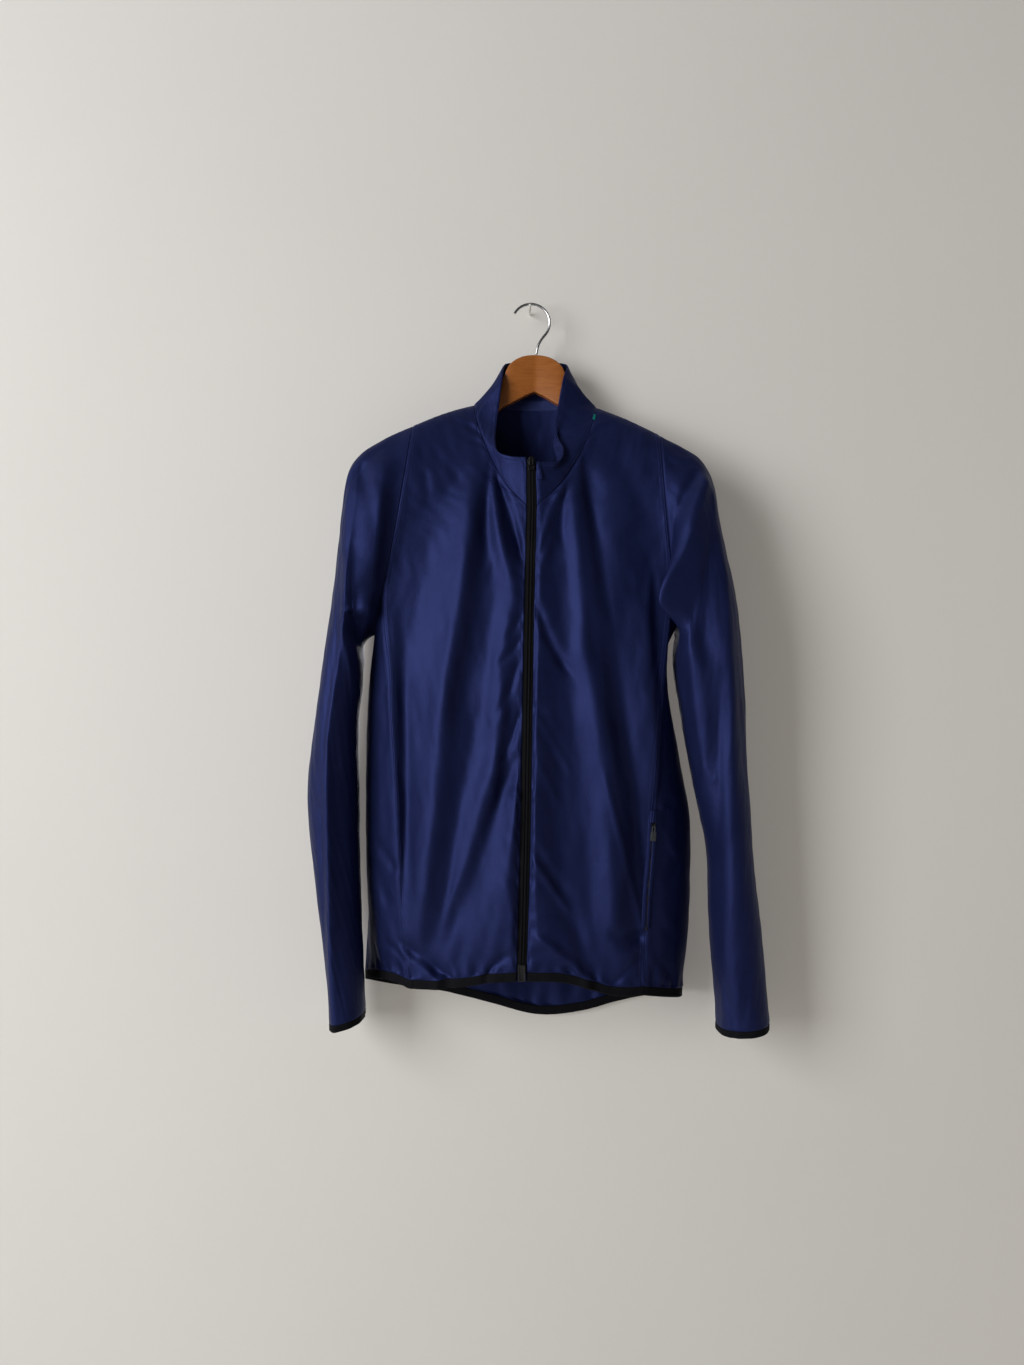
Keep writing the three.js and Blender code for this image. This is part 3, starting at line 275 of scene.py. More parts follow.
# Long ridges of the hanging cloth: how sharp, from 0 for a round crest to 1 for an edge, and
# then down the ridge: z, x of the left trough, of the crest and of the right trough, height.
bodyRidges = [
    (0.15, [
        (-209, -86.9, -53.7, -45.7, 2.9), (-244, -104, -60.6, -50.2, 6.38),
        (-278, -116, -66.3, -50.2, 8.7), (-324, -129, -73.2, -44.5, 11.6),
        (-370, -138, -78.9, -44.5, 13.34), (-404, -141, -86.9, -48, 13.34),
        (-450, -142, -97.2, -56, 13.34), (-519, -144, -99.5, -65.1, 13.34),
        (-565, -144, -104, -74.3, 13.34), (-611, -144, -110, -82.3, 12.76),
        (-656, -148, -116, -90.4, 11.6), (-702, -150, -121, -98.4, 8.7),
        (-737, -150, -126, -106, 5.8), (-765, -150, -129, -113, 0.87),
    ]),
    (0.2, [
        (-216, -49.1, -43.4, -37.6, 1.9), (-255, -50.2, -38.8, -29.6, 4.18),
        (-290, -50.2, -33.1, -20.5, 5.7), (-324, -43.4, -23.9, -10.1, 4.94),
        (-358, -44.5, -21.6, -9, 4.94), (-404, -48, -29.6, -11.3, 5.7),
        (-450, -56, -35.4, -19.3, 6.46), (-496, -61.7, -33.1, -23.9, 7.22),
        (-530, -67.4, -38.8, -29.6, 7.98), (-565, -74.3, -43.4, -31.9, 8.36),
        (-599, -81.2, -53.7, -39.9, 8.36), (-633, -86.9, -65.1, -49.1, 7.6),
        (-668, -92.7, -77.8, -60.6, 6.84), (-702, -98.4, -90.4, -75.5, 4.56),
        (-731, -106, -97.2, -86.9, 1.14),
    ]),
    (0.2, [
        (-544, -21.6, -13.6, -9, 1.6), (-576, -30.8, -17, -11.3, 6),
        (-611, -38.8, -19.3, -12.4, 8), (-645, -49.1, -22.7, -12.4, 8),
        (-679, -60.6, -26.2, -12.4, 8), (-714, -78.9, -21.6, -13.6, 7.2),
        (-748, -98.4, -23.9, -13.6, 6), (-778, -92.7, -35.4, -14.7, 1.6),
    ]),
    (0.3, [
        (-347, -184, -164, -148, 1.3), (-404, -187, -163, -145, 3.38),
        (-473, -189, -161, -143, 4.42), (-542, -189, -157, -143, 4.42),
        (-611, -189, -153, -143, 3.9), (-656, -187, -151, -145, 2.6),
        (-714, -182, -150, -147, 0.52),
    ]),
    (0.15, [
        (-189, 47.2, 57.5, 63.2, 1.44), (-221, 40.3, 56.3, 64.3, 4.32),
        (-267, 35.7, 62.1, 74.7, 8.16), (-313, 39.1, 66.6, 83.8, 10.56),
        (-358, 42.6, 71.2, 89.6, 12), (-404, 44.9, 75.8, 97.6, 12), (-450, 44.9, 80.4, 103, 12),
        (-496, 42.6, 83.8, 109, 12), (-542, 44.9, 93, 117, 12), (-588, 48.3, 101, 124, 12),
        (-633, 52.9, 104, 128, 11.04), (-679, 59.8, 99.9, 132, 9.6),
        (-725, 67.8, 95.3, 125, 8.64), (-760, 73.5, 108, 131, 7.2), (-794, 75.8, 114, 131, 2.4),
    ]),
    (0.2, [
        (-336, 104, 134, 145, 2.24), (-381, 99.9, 134, 145, 6.16), (-427, 102, 135, 146, 7.84),
        (-473, 107, 138, 150, 8.96), (-519, 112, 141, 153, 8.4), (-565, 120, 142, 150, 5.04),
        (-592, 124, 138, 146, 0.56),
    ]),
    (0.25, [
        (-219, 3.6, 11.6, 39.1, 2.4), (-290, 3.6, 11.6, 35.7, 3), (-358, 3.6, 10.5, 36.8, 3.3),
        (-427, 1.3, 8.2, 40.3, 4.2), (-496, 0.2, 5.9, 42.6, 5.1), (-542, -1, 5.9, 44.9, 6),
        (-588, -2.1, 4.8, 47.2, 6.3), (-656, -3.3, 4.8, 54, 6.3), (-702, -4.4, 5.9, 60.9, 6.3),
        (-748, -4.6, 10.5, 67.8, 5.4), (-782, -4.6, 16.2, 72.4, 2.1),
    ]),
]
sleeveRidges = {
    "right": [
        (0.8, [
            (-203, -208, -200, -195, 0.72), (-231, -209, -200, -189, 1.44),
            (-265, -211, -202, -179, 1.92), (-300, -214, -206, -167, 3.12),
            (-335, -217, -209, -174, 6.48), (-369, -218, -211, -183, 6.48),
            (-404, -220, -213, -192, 6.24), (-450, -227, -220, -200, 5.28),
            (-496, -233, -227, -200, 5.28), (-543, -236, -230, -200, 4.8),
            (-658, -238, -230, -200, 4.8), (-774, -236, -230, -198, 4.08),
            (-854, -235, -230, -197, 1.92),
        ]),
        (0.3, [
            (-200, -204, -168, -148, 3), (-231, -208, -169, -151, 7.5),
            (-254, -208, -170, -154, 9.6), (-277, -208, -171, -156, 10.2),
            (-300, -208, -173, -158, 9.9), (-330, -206, -175, -161, 9),
            (-356, -205, -178, -165, 3.6),
        ]),
        (0, [
            (-180, -226, -200, -168, -3), (-230, -236, -206, -170, -8),
            (-300, -242, -208, -172, -9), (-360, -246, -212, -178, -6),
            (-400, -248, -216, -184, -2),
        ]),
        (0, [
            (-405, -236, -211, -190, -2), (-440, -242, -213, -192, -6),
            (-560, -250, -215, -192, -8), (-700, -244, -212, -190, -8),
            (-800, -236, -209, -188, -5), (-854, -232, -208, -188, -1.5),
        ]),
    ],
    "left": [
        (0.5, [
            (-208, 193, 205, 209, 1.5), (-231, 184, 201, 208, 4.5), (-265, 175, 192, 206, 6.6),
            (-294, 166, 184, 202, 8.1), (-323, 159, 180, 200, 9), (-358, 154, 178, 199, 9),
            (-404, 161, 178, 198, 8.1), (-450, 175, 182, 202, 5.4), (-496, 182, 186, 204, 4.8),
            (-543, 191, 194, 206, 2.7), (-577, 196, 199, 204, 0.6),
        ]),
        (0.3, [
            (-242, 207, 214, 221, 0.6), (-300, 200, 218, 227, 3.12), (-335, 199, 221, 230, 4.32),
            (-381, 198, 221, 234, 4.8), (-427, 199, 223, 239, 4.8), (-473, 202, 224, 244, 4.8),
            (-519, 206, 227, 250, 4.8), (-589, 196, 227, 254, 5.28), (-646, 205, 226, 259, 5.28),
            (-704, 206, 224, 265, 5.28), (-762, 208, 223, 270, 4.8), (-820, 214, 222, 274, 3.12),
            (-854, 216, 223, 276, 1.2),
        ]),
    ],
}

# Where a sleeve's cloth is pushed aside: ring, around, their spreads, and dx dy dz.
sleevePulls = {
    "right": [(0.86, 1.7, 0.07, 1.2, 5, -6, 2)],
    "left": [(0.8, 1.8, 0.1, 1.1, -30, -12, -4), (0.62, 1.5, 0.2, 1.1, -8, -4, 0)],
}
# Where the collar rolls over: station, rise, their spreads, and dx dy dz.
collarPulls = [(19.4, 0.66, 1.3, 0.22, -19, 5, 0)]
# The hanger from its middle to a tip: reach, top, bottom and half its thickness.
hangerSections = [
    (0, 0, -44, 6), (12, -1.5, -50, 6), (22, -5.5, -56, 6), (31, -13, -61, 6),
    (36, -23, -63, 5.4), (43, -42, -70, 4.8), (55, -58, -82, 4.6), (67, -70, -93, 4.6),
    (76, -76, -99, 4.8), (99, -83.5, -109, 4.8), (124, -94, -119, 4.8), (148, -107, -130, 4.8),
    (172, -121, -141, 4.8), (187, -132, -148, 4.4), (196, -143, -150, 3),
]

zipSlot = 5.8  # from the middle of the zip to the cloth's edge
sideSeamAt = 0.8  # how far round the armhole the side seams meet it
bodyMiddle, bodyReach, sleeveReach = -22, 24, 22  # depth between front and back, and its fade
# Rows count in these steps, so that sewn edges meet: down the neck's front, round its back,
# down the armhole, down a whole panel and down the side seam.
neckRows, backNeckRows, armRows, bodyRows, sideRows = 7, 8, 8, 23, 15
# About how long the edges are, which sets how many rows of cloth they get.
edgeLengths = {
    "arm": 240, "side": 430, "front": 150, "shoulder": 78, "neck": 150, "underArm": 445,
    "sideAcross": 85, "collarEnd": 22, "collar": 60, "sleeve": 700,
}


# The curve between b and c that also heeds the points before and after them.
def curve(a, b, c, d, t):
    bend = (2 * a - 5 * b + 4 * c - d) * t ** 2 + (3 * b - a - 3 * c + d) * t ** 3
    return b + 0.5 * ((c - a) * t + bend)


# A smooth line through points, read at shares of its spans.
def spanLine(points):
    known = np.array(points, float)
    known = np.vstack([2 * known[0] - known[1], known, 2 * known[-1] - known[-2]])

    def at(share):
        place = np.clip(np.asarray(share, float), 0, 1) * (len(known) - 3)
        first = np.minimum(place.astype(int), len(known) - 4)
        return curve(*(known[first + k] for k in range(4)), (place - first)[..., None])

    return at


# The same line read at shares of its length.
def evenLine(points):
    spans = spanLine(points)
    shares = np.linspace(0, 1, 1201)
    run = runAlong(spans(shares)[:, None], 0)[:, 0]
    return lambda share: spans(np.interp(np.asarray(share, float) * run[-1], run, shares))


# Lengths along one axis of a grid of points.
def runAlong(grid, axis):
    steps = np.linalg.norm(np.diff(grid, axis=axis), axis=-1)
    start = np.zeros_like(np.take(steps, [0], axis=axis))
    return np.concatenate([start, np.cumsum(steps, axis=axis)], axis=axis)


# A table read between its rows, smoothly.
def between(rows, position):
    last = len(rows) - 1
    first = np.clip(np.floor(position).astype(int), 0, last - 1)
    near = (rows[np.clip(first + k, 0, last)] for k in (-1, 0, 1, 2))
    return curve(*near, (position - first)[..., None])


# A table's columns read at places, where known says which place each row is at.
def readAt(places, known, rows):
    return np.stack([np.interp(places, known, column) for column in rows.T], -1)


# 0 below low and 1 above high, with a soft way between.
def ease(value, low, high):
    t = np.clip((value - low) / (high - low), 0, 1)
    return t * t * (3 - 2 * t)


# How far down the chord of a sleeve's section a place round it lies.
def chordShare(around):
    share = np.abs(around)
    upper = sideSeamAt * (share / sideSeamAt) ** 2
    rest = np.clip((share - sideSeamAt) / (1 - sideSeamAt), 0, 1)
    lower = 1 - (1 - sideSeamAt) * (1 - rest) ** 1.32
    return np.where(share <= sideSeamAt, upper, lower)


# A sleeve's surface: around runs 0 to 1 down its front and 0 to -1 down its back.
def sleevePoints(side, ring, around):
    ring, around = np.broadcast_arrays(np.asarray(ring, float), np.asarray(around, float))
    values = np.moveaxis(between(np.array(sleeveSections[side], float), ring), -1, 0)
    outerX, outerZ, innerX, innerZ, depth, front, back, power, sag, bow = values
    chord = chordShare(around)
    full = (1 - np.abs(2 * chord ** sag - 1) ** power) ** (1 / power)
    lean = bow * 4 * chord * (1 - chord) * (1 if side == "right" else -1)
    x = outerX + (innerX - outerX) * chord + lean
    y = depth + np.where(around > 0, -front, back) * full
    return np.stack([x, y, outerZ + (innerZ - outerZ) * chord], -1)


# How far the folds push each point.
def foldPush(points, folds):
    push = np.zeros(points.shape[:-1])
    for x0, z0, x1, z1, bow, width, depth in folds:
        alongX, alongZ = x1 - x0, z1 - z0
        length = math.hypot(alongX, alongZ)
        dx, dz = points[..., 0] - x0, points[..., 2] - z0
        share = (dx * alongX + dz * alongZ) / length ** 2
        aside = (dx * alongZ - dz * alongX) / length - bow * 4 * share * (1 - share)
        ends = ease(share, -0.2, 0.15) * (1 - ease(share, 0.85, 1.2))
        push += depth * ends * np.exp(-((aside / width) ** 2))
    return push


# How far the long ridges push each point.
def ridgePush(points, ridges):
    x, z = points[..., 0], points[..., 2]
    push = np.zeros(x.shape)
    for sharp, rows in ridges:
        line = spanLine(rows)(np.linspace(0, 1, 160))[::-1]
        left, crest, right, height = np.moveaxis(readAt(z, line[:, 0], line[:, 1:]), -1, 0)
        share = np.where(x < crest, (x - left) / (crest - left), (right - x) / (right - crest))
        share = np.clip(share, 0, 1)
        low, high = line[0, 0], line[-1, 0]
        ends = ease(z, low - 20, low) * (1 - ease(z, high, high + 20))
        push += height * (ease(share, 0, 1) * (1 - sharp) + share ** 1.4 * sharp) * ends
    return push


# How much of the front each point is, and the push of the folds, front and back.
def hanging(points, middle, reach, folds):
    front = ease(middle - points[..., 1], reach * 0.4, reach)
    back = ease(points[..., 1] - middle, reach * 0.4, reach)
    return front, back * foldPush(points, folds["back"]) - front * foldPush(points, folds["front"])


# The body's folds, ridges and creases, worked into its smooth surface.
def creasedBody(points):
    front, push = hanging(points, bodyMiddle, bodyReach, bodyFolds)
    made = points.copy()
    made[..., 1] += push - front * (ridgePush(points, bodyRidges) + foldPush(points, bodyCreases))
    return made


# The lines that one side's panels are sewn along.
def seamLines(side):
    shift = -zipSlot if side == "right" else zipSlot
    zipEdge = evenLine([(x + shift, y, z) for x, y, z in zipLine])
    rounds = {"front": sideSeamAt, "middle": 1, "back": -sideSeamAt}
    lines = {which: evenLine([sleevePoints(side, 0, around), *sideLines[side][which]])
             for which, around in rounds.items()}
    return {
        **lines,
        "zip": zipEdge,
        "neck": evenLine([*neckLine[side], zipEdge(0)]),
        "shoulder": evenLine(shoulderLine[side]),
        "hem": evenLine([zipEdge(1), *hemLines[side], lines["front"](1)]),
    }


seams = {side: seamLines(side) for side in ("right", "left")}
neckBack, hemBack = evenLine(neckBackLine), evenLine(hemLines["back"])


# Places along one way of a sheet: close together beside its edges and even between them.
def spread(length, edges=(True, True)):
    start, end = (np.array(mesh["edgeSteps"] if edge else [0.0]) for edge in edges)
    middle = length - start[-1] - end[-1]
    count = max(2, round(middle / mesh["rowStep"]))
    inner = start[-1] + np.arange(1, count) * middle / count
    return np.concatenate([start, inner, (length - end)[::-1]]) / length


# Rows of a body panel, counted from its shoulder: the armhole's rows, then the side seam's.
panelRows = np.concatenate([
    spread(edgeLengths["arm"], (True, False)) * armRows,
    armRows + spread(edgeLengths["side"], (False, True))[1:] * sideRows,
])


# Bends a sheet to an edge line, less and less away from that edge.
def lift(edge, first, last, across, fade):
    return (edge - (first + (last - first) * across[:, None]))[None] * fade


# Evens out a panel where its armhole rows meet its side rows, away from its edges.
def evened(grid, middle, reach, passes=260):
    soft = grid.copy()
    near = np.linalg.norm(np.diff(grid, axis=0), axis=-1, keepdims=True)
    before, after = near[:-1], near[1:]
    for _ in range(passes):
        line = (soft[:-2] * after + soft[2:] * before) / (before + after)
        soft[1:-1] += 0.5 * (line - soft[1:-1])
    along = runAlong(grid, 1)
    inside = ease(np.minimum(along, along[:, -1:] - along), 0, 14)
    weight = np.exp(-(((panelRows - middle) / reach) ** 2))[:, None] * inside
    return grid + (soft - grid) * weight[..., None]


# A panel's edge at each row: one line down to a row, and another below it.
def edgeRows(lastRow, upper, lower):
    return np.where((panelRows <= lastRow)[:, None], upper, lower)


def frontGrid(side):
    lines = seams[side]
    across = spread(edgeLengths["front"])
    inner = edgeRows(neckRows, lines["neck"](np.minimum(panelRows / neckRows, 1) ** 2),
                     lines["zip"]((panelRows - neckRows) / (bodyRows - neckRows)))
    outer = edgeRows(
        armRows, sleevePoints(side, 0, sideSeamAt * np.minimum(panelRows / armRows, 1)),
        lines["front"]((panelRows - armRows) / sideRows))
    down = (panelRows / bodyRows)[:, None, None]
    grid = inner[:, None] + (outer - inner)[:, None] * across[:, None]
    grid = grid + lift(lines["shoulder"](across), inner[0], outer[0], across, (1 - down) ** 4)
    grid = grid + lift(lines["hem"](across), inner[-1], outer[-1], across, down ** 4)
    return creasedBody(evened(grid, 7.8, 2.4))


def backGrid():
    shoulder = spread(edgeLengths["shoulder"], (True, False))
    top = np.concatenate([
        seams["right"]["shoulder"](1 - shoulder),
        neckBack(spread(edgeLengths["neck"], (False, False))[1:]),
        seams["left"]["shoulder"](1 - shoulder[::-1][1:]),
    ])
    right, left = (edgeRows(
        armRows, sleevePoints(side, 0, -sideSeamAt * np.clip(panelRows / armRows, 1e-9, 1)),
        seams[side]["back"]((panelRows - armRows) / sideRows)) for side in ("right", "left"))
    across = (top[:, 0] - top[0, 0]) / (top[-1, 0] - top[0, 0])
    down = (panelRows / bodyRows)[:, None, None]
    grid = right[:, None] + (left - right)[:, None] * across[:, None]
    fade = np.concatenate([(1 - down) ** 2, (1 - down) ** 5, (1 - down) ** 1.6], -1)
    grid = grid + lift(top, top[0], top[-1], across, fade)
    grid = grid + lift(hemBack(across), hemBack(0), hemBack(1), across, down ** 3)
    return creasedBody(evened(grid, 8, 2))


# A side panel's way across, through its middle line.
def acrossSide(front, middle, back, across):
    t = across[:, None]
    return front * (1 - t) * (1 - 2 * t) + middle * 4 * t * (1 - t) + back * t * (2 * t - 1)


def sideGrid(side):
    rows, across = spread(edgeLengths["underArm"]), spread(edgeLengths["sideAcross"])
    around = np.where(across <= 0.5, sideSeamAt + (1 - sideSeamAt) * 2 * across,
                      -1 + (1 - sideSeamAt) * (2 * across - 1))
    corners = [sleevePoints(side, 0, share) for share in (sideSeamAt, 1, -sideSeamAt)]
    drop = sleevePoints(side, 0, around) - acrossSide(*corners, across)
    lines = [seams[side][which](rows)[:, None] for which in ("front", "middle", "back")]
    return creasedBody(acrossSide(*lines, across) + drop[None] * (1 - rows[:, None, None]) ** 6)


# Moves the cloth near given places aside.
def pulled(grid, across, down, pulls):
    for atAcross, atDown, wide, tall, *way in pulls:
        near = np.exp(-(((across - atAcross) / wide) ** 2) - (((down - atDown) / tall) ** 2))
        grid = grid + near[..., None] * np.array(way, float)
    return grid


# The collar's stations count round the neck: 7 for each front and 8 for the back.
stations = np.concatenate([
    spread(edgeLengths["collarEnd"], (True, False)),
    *(first + np.linspace(0, long, count)[1:] for first, long, count in (
        (1, 5, 51), (6, 1, 25), (7, 8, 65), (15, 1, 25), (16, 5, 51))),
    21 + spread(edgeLengths["collarEnd"], (False, True))[1:],
])


def collarGrid():
    leftFront, column = neckRows + backNeckRows, stations[:, None]
    right = seams["right"]["neck"](((neckRows - np.minimum(stations, neckRows)) / neckRows) ** 2)
    left = seams["left"]["neck"]((np.maximum(stations - leftFront, 0) / neckRows) ** 2)
    bottom = np.where(column <= neckRows, right, np.where(
        column <= leftFront, neckBack((stations - neckRows) / backNeckRows), left))
    top = spanLine(collarTopLine)(stations / (leftFront + neckRows))
    rise = spread(edgeLengths["collar"])[:, None, None]
    grid = creasedBody(bottom)[None] * (1 - rise) + top[None] * rise
    return pulled(grid, stations, rise[..., 0], collarPulls)


def sleeveGrid(side):
    sections = np.array(sleeveSections[side], float)
    rings = (spread(edgeLengths["sleeve"], (True, False)) * (len(sections) - 1))[:, None]
    around = np.concatenate([np.linspace(0, 1, 50), np.linspace(-1, 0, 50)[1:-1]])
    plain = sleevePoints(side, rings, around)
    front, push = hanging(plain, between(sections, rings)[..., 4], sleeveReach, sleeveFolds[side])
    sharp = ridgePush(plain, sleeveRidges[side]) + foldPush(plain, sleeveCreases[side])
    grid = plain.copy()
    grid[..., 1] += push * ease(rings, 0, 3) - front * sharp * ease(rings, 0, 1)
    # At the armhole the sleeve follows the body's own creases.
    grid += (creasedBody(plain) - plain) * (1 - ease(rings, 0, 1.2))[..., None]
    moved = pulled(grid, around, rings, sleevePulls[side])
    return grid + (moved - grid) * ease(rings, 0, 1.1)[..., None]


# The way out of the cloth at each point of a sheet.
def outward(sheet):
    grid = sheet["grid"]
    if sheet["closed"]:
        along = (np.roll(grid, -1, 1) - np.roll(grid, 1, 1)) / 2
    else:
        along = np.gradient(grid, axis=1)
    normal = np.cross(np.gradient(grid, axis=0), along)
    normal /= np.maximum(np.linalg.norm(normal, axis=-1, keepdims=True), 1e-9)
    return normal if sheet["turned"] else -normal


# Soft uneven swell from a few waves across the sheet's own lengths.
def swell(u, v, length, count, seed):
    own = np.random.default_rng(seed)
    total = np.zeros(np.broadcast(u, v).shape)
    for _ in range(count):
        angle = own.uniform(0, math.pi)
        size = length * own.uniform(0.7, 1.5)
        phase = own.uniform(0, 2 * math.pi)
        total += np.sin(2 * math.pi * (u * math.cos(angle) + v * math.sin(angle)) / size + phase)
    return total / math.sqrt(count)


# A hump of height 1 at 0, that fades out over its width.
def hump(distance, width):
    return np.exp(-((distance / width) ** 2))


# What a sewn edge does to the cloth beside it: it puffs up, dips under each line of
# stitches and puckers a little along its length.
relief = {"puff": 0.55, "dip": 0.3, "pucker": 0.22, "hemFine": 1.3, "hemBroad": 1.35, "zip": 0.9}


def seamRelief(distance, run, seed, stitched):
    puff = relief["puff"] * (1 - hump(distance, 1.3)) * hump(distance, 11)
    dips = sum(relief["dip"] * hump(distance - line, 0.6) for line in stitched)
    pucker = swell(run, run * 0, 9, 5, seed) * hump(distance, 8) * (1 - hump(distance, 1.6))
    return puff - dips + relief["pucker"] * pucker


# Gives a sheet its swell, its sewn edges and its gathers.
def relieve(sheet):
    grid, seed = sheet["grid"], sheet["seed"]
    down, along = runAlong(grid, 0), runAlong(grid, 1)
    push = sheet["swell"] * (swell(along, down * 0.25, 34, 9, seed)
                             + 0.7 * swell(along, down * 0.35, 13, 9, seed + 1)
                             + 0.5 * swell(along, down, 60, 7, seed + 2))
    sides = {
        "top": (down, along), "bottom": (down[-1:] - down, along),
        "start": (along, down), "end": (along[:, -1:] - along, down),
    }
    sewn, nearFade = 0, 1
    for number, (name, lines) in enumerate(sheet["seams"].items()):
        distance, run = sides[name]
        push = push * ease(distance, 0, 10)
        nearFade = nearFade * ease(distance, 0, 3.5)
        sewn = sewn + seamRelief(distance, run, seed + 20 + number, lines)
    for extra in sheet["extra"]:
        push = push + extra(down, along) * nearFade
    sheet["grid"] = grid + outward(sheet) * (push + sewn)[..., None]


# The hem's elastic gathers the cloth above it.
def hemGathers(down, along):
    fromHem = down[-1:] - down
    fine = swell(along, down * 0.1, 12, 7, 71) * hump(fromHem, 14)
    broad = swell(along, down * 0.2, 26, 7, 73) * hump(fromHem, 38)
    return relief["hemFine"] * fine + relief["hemBroad"] * broad


# Short puckers run into the cloth from the zip.
def zipPuckers(down, along):
    return relief["zip"] * swell(down + along * 0.9, along * 0, 16, 7, 83) * hump(along, 17)


# Ways, each made one long.
def unit(ways):
    return ways / np.maximum(np.linalg.norm(ways, axis=-1, keepdims=True), 1e-9)


def addMesh(name, points, faces, uvs=None):
    data = bpy.data.meshes.new(name)
    data.from_pydata([tuple(p) for p in np.asarray(points) * mm], [], faces)
    data.update()
    if uvs is not None:
        layer = data.uv_layers.new(name="cloth")
        loops = np.zeros(len(data.loops), np.int32)
        data.loops.foreach_get("vertex_index", loops)
        layer.data.foreach_set("uv", (np.asarray(uvs) * mm)[loops].ravel())
        data.polygons.foreach_set("use_smooth", [True] * len(data.polygons))
    return addObject(name, data)


def addObject(name, data):
    piece = bpy.data.objects.new(name, data)
    bpy.context.scene.collection.objects.link(piece)
    return piece


# A shell of cloth: outer face, inner face and rounded rims between them.
def shell(name, sheet):
    grid, closed, turned = sheet["grid"], sheet["closed"], sheet["turned"]
    normal = outward(sheet)
    outer = grid + normal * sheet["proud"]
    uv = np.stack([runAlong(grid, 1), runAlong(grid, 0)], -1).reshape(-1, 2)
    points = [outer.reshape(-1, 3), (outer - normal * sheet["thick"]).reshape(-1, 3)]
    uvs = [uv, uv]
    size = len(uv)
    index = np.arange(size).reshape(grid.shape[:2])
    wide = np.concatenate([index, index[:, :1]], 1) if closed else index
    corners = wide[:-1, :-1], wide[1:, :-1], wide[1:, 1:], wide[:-1, 1:]
    quads = np.stack(corners, -1).reshape(-1, 4)[:, ::1 if turned else -1]
    faces = [quads, quads[:, ::-1] + size]
    rims = [(wide[0], grid[0] - grid[1], True), (wide[-1], grid[-1] - grid[-2], False)]
    if not closed:
        rims += [(index[:, 0], grid[:, 0] - grid[:, 1], False),
                 (index[:, -1], grid[:, -1] - grid[:, -2], True)]
    count = 2 * size
    for line, away, flip in rims:
        own = line[:len(away)]
        flat = (points[0][own] + points[1][own]) / 2
        points.append(flat + unit(away) * sheet["thick"] * sheet["round"])
        uvs.append(uv[own])
        ids = count + np.arange(len(line)) % len(own)
        count += len(own)
        upper = np.stack([line[:-1], line[1:], ids[1:], ids[:-1]], -1)
        lower = np.stack([ids[:-1], ids[1:], line[1:] + size, line[:-1] + size], -1)
        faces.append(np.concatenate([upper, lower])[:, ::-1 if flip != turned else 1])
    return addMesh(name, np.concatenate(points), np.concatenate(faces).tolist(),
                   np.concatenate(uvs))


# Sets up a node: a socket is linked to the input it is given for, and anything else is a
# value of an input or of the node itself.
def setUp(tree, made, values):
    for key, value in values.items():
        if isinstance(value, bpy.types.NodeSocket):
            tree.links.new(value, made.inputs[key])
        elif key in made.inputs:
            made.inputs[key].default_value = value
        else:
            setattr(made, key, value)


# A new node's output. Sockets without a name are linked to its inputs in turn.
def node(tree, kind, output, *linked, **values):
    made = tree.nodes.new("ShaderNode" + kind)
    setUp(tree, made, {**dict(enumerate(linked)), **values})
    return made.outputs[output]


def newMaterial(name):
    material = bpy.data.materials.new(name)
    material.use_nodes = True
    tree = material.node_tree
    return material, tree, tree.nodes["Principled BSDF"], node(tree, "TexCoord", "Object")


def ramp(tree, source, stops):
    made = tree.nodes.new("ShaderNodeValToRGB")
    bar = made.color_ramp
    for element, (place, colour) in zip(bar.elements, (stops[0], stops[-1])):
        element.position, element.color = place, (*colour, 1)
    for place, colour in stops[1:-1]:
        bar.elements.new(place).color = (*colour, 1)
    tree.links.new(source, made.inputs["Fac"])
    return made.outputs["Color"]


# From a darker share of a colour to the colour itself.
def tinted(tree, source, colour, share, low, high):
    return ramp(tree, source, [(low, tuple(c * share for c in colour)), (high, colour)])


def bumped(tree, layers):
    before = {}
    for height, strength, distance in layers:
        before = {"Normal": node(tree, "Bump", "Normal", Height=height, Strength=strength,
                                 Distance=distance, **before)}
    return before["Normal"]


# Ribs or threads across the cloth, in its own UV.
def ribs(tree, pitch, direction, distortion, detail=2.0):
    uv = node(tree, "UVMap", "UV", uv_map="cloth")
    return node(tree, "TexWave", "Fac", Vector=uv, Scale=0.314 / pitch, Detail=detail,
                Distortion=distortion, bands_direction=direction)


shellCloth = {
    "deep": (0.0125, 0.019, 0.083), "light": (0.015, 0.0225, 0.094), "roughness": 0.56,
    "metallic": 0.62, "sheen": 0.0, "thread": 0.00042,
}
threadCloth = {
    "deep": (0.02, 0.03, 0.12), "light": (0.03, 0.042, 0.15), "roughness": 0.6,
    "metallic": 0.2, "sheen": 0.1, "thread": 0.0003,
}
tapeCloth = {
    "deep": (0.02, 0.03, 0.11), "light": (0.028, 0.04, 0.14), "roughness": 0.6,
    "metallic": 0.2, "sheen": 0.0, "thread": 0.0006,
}


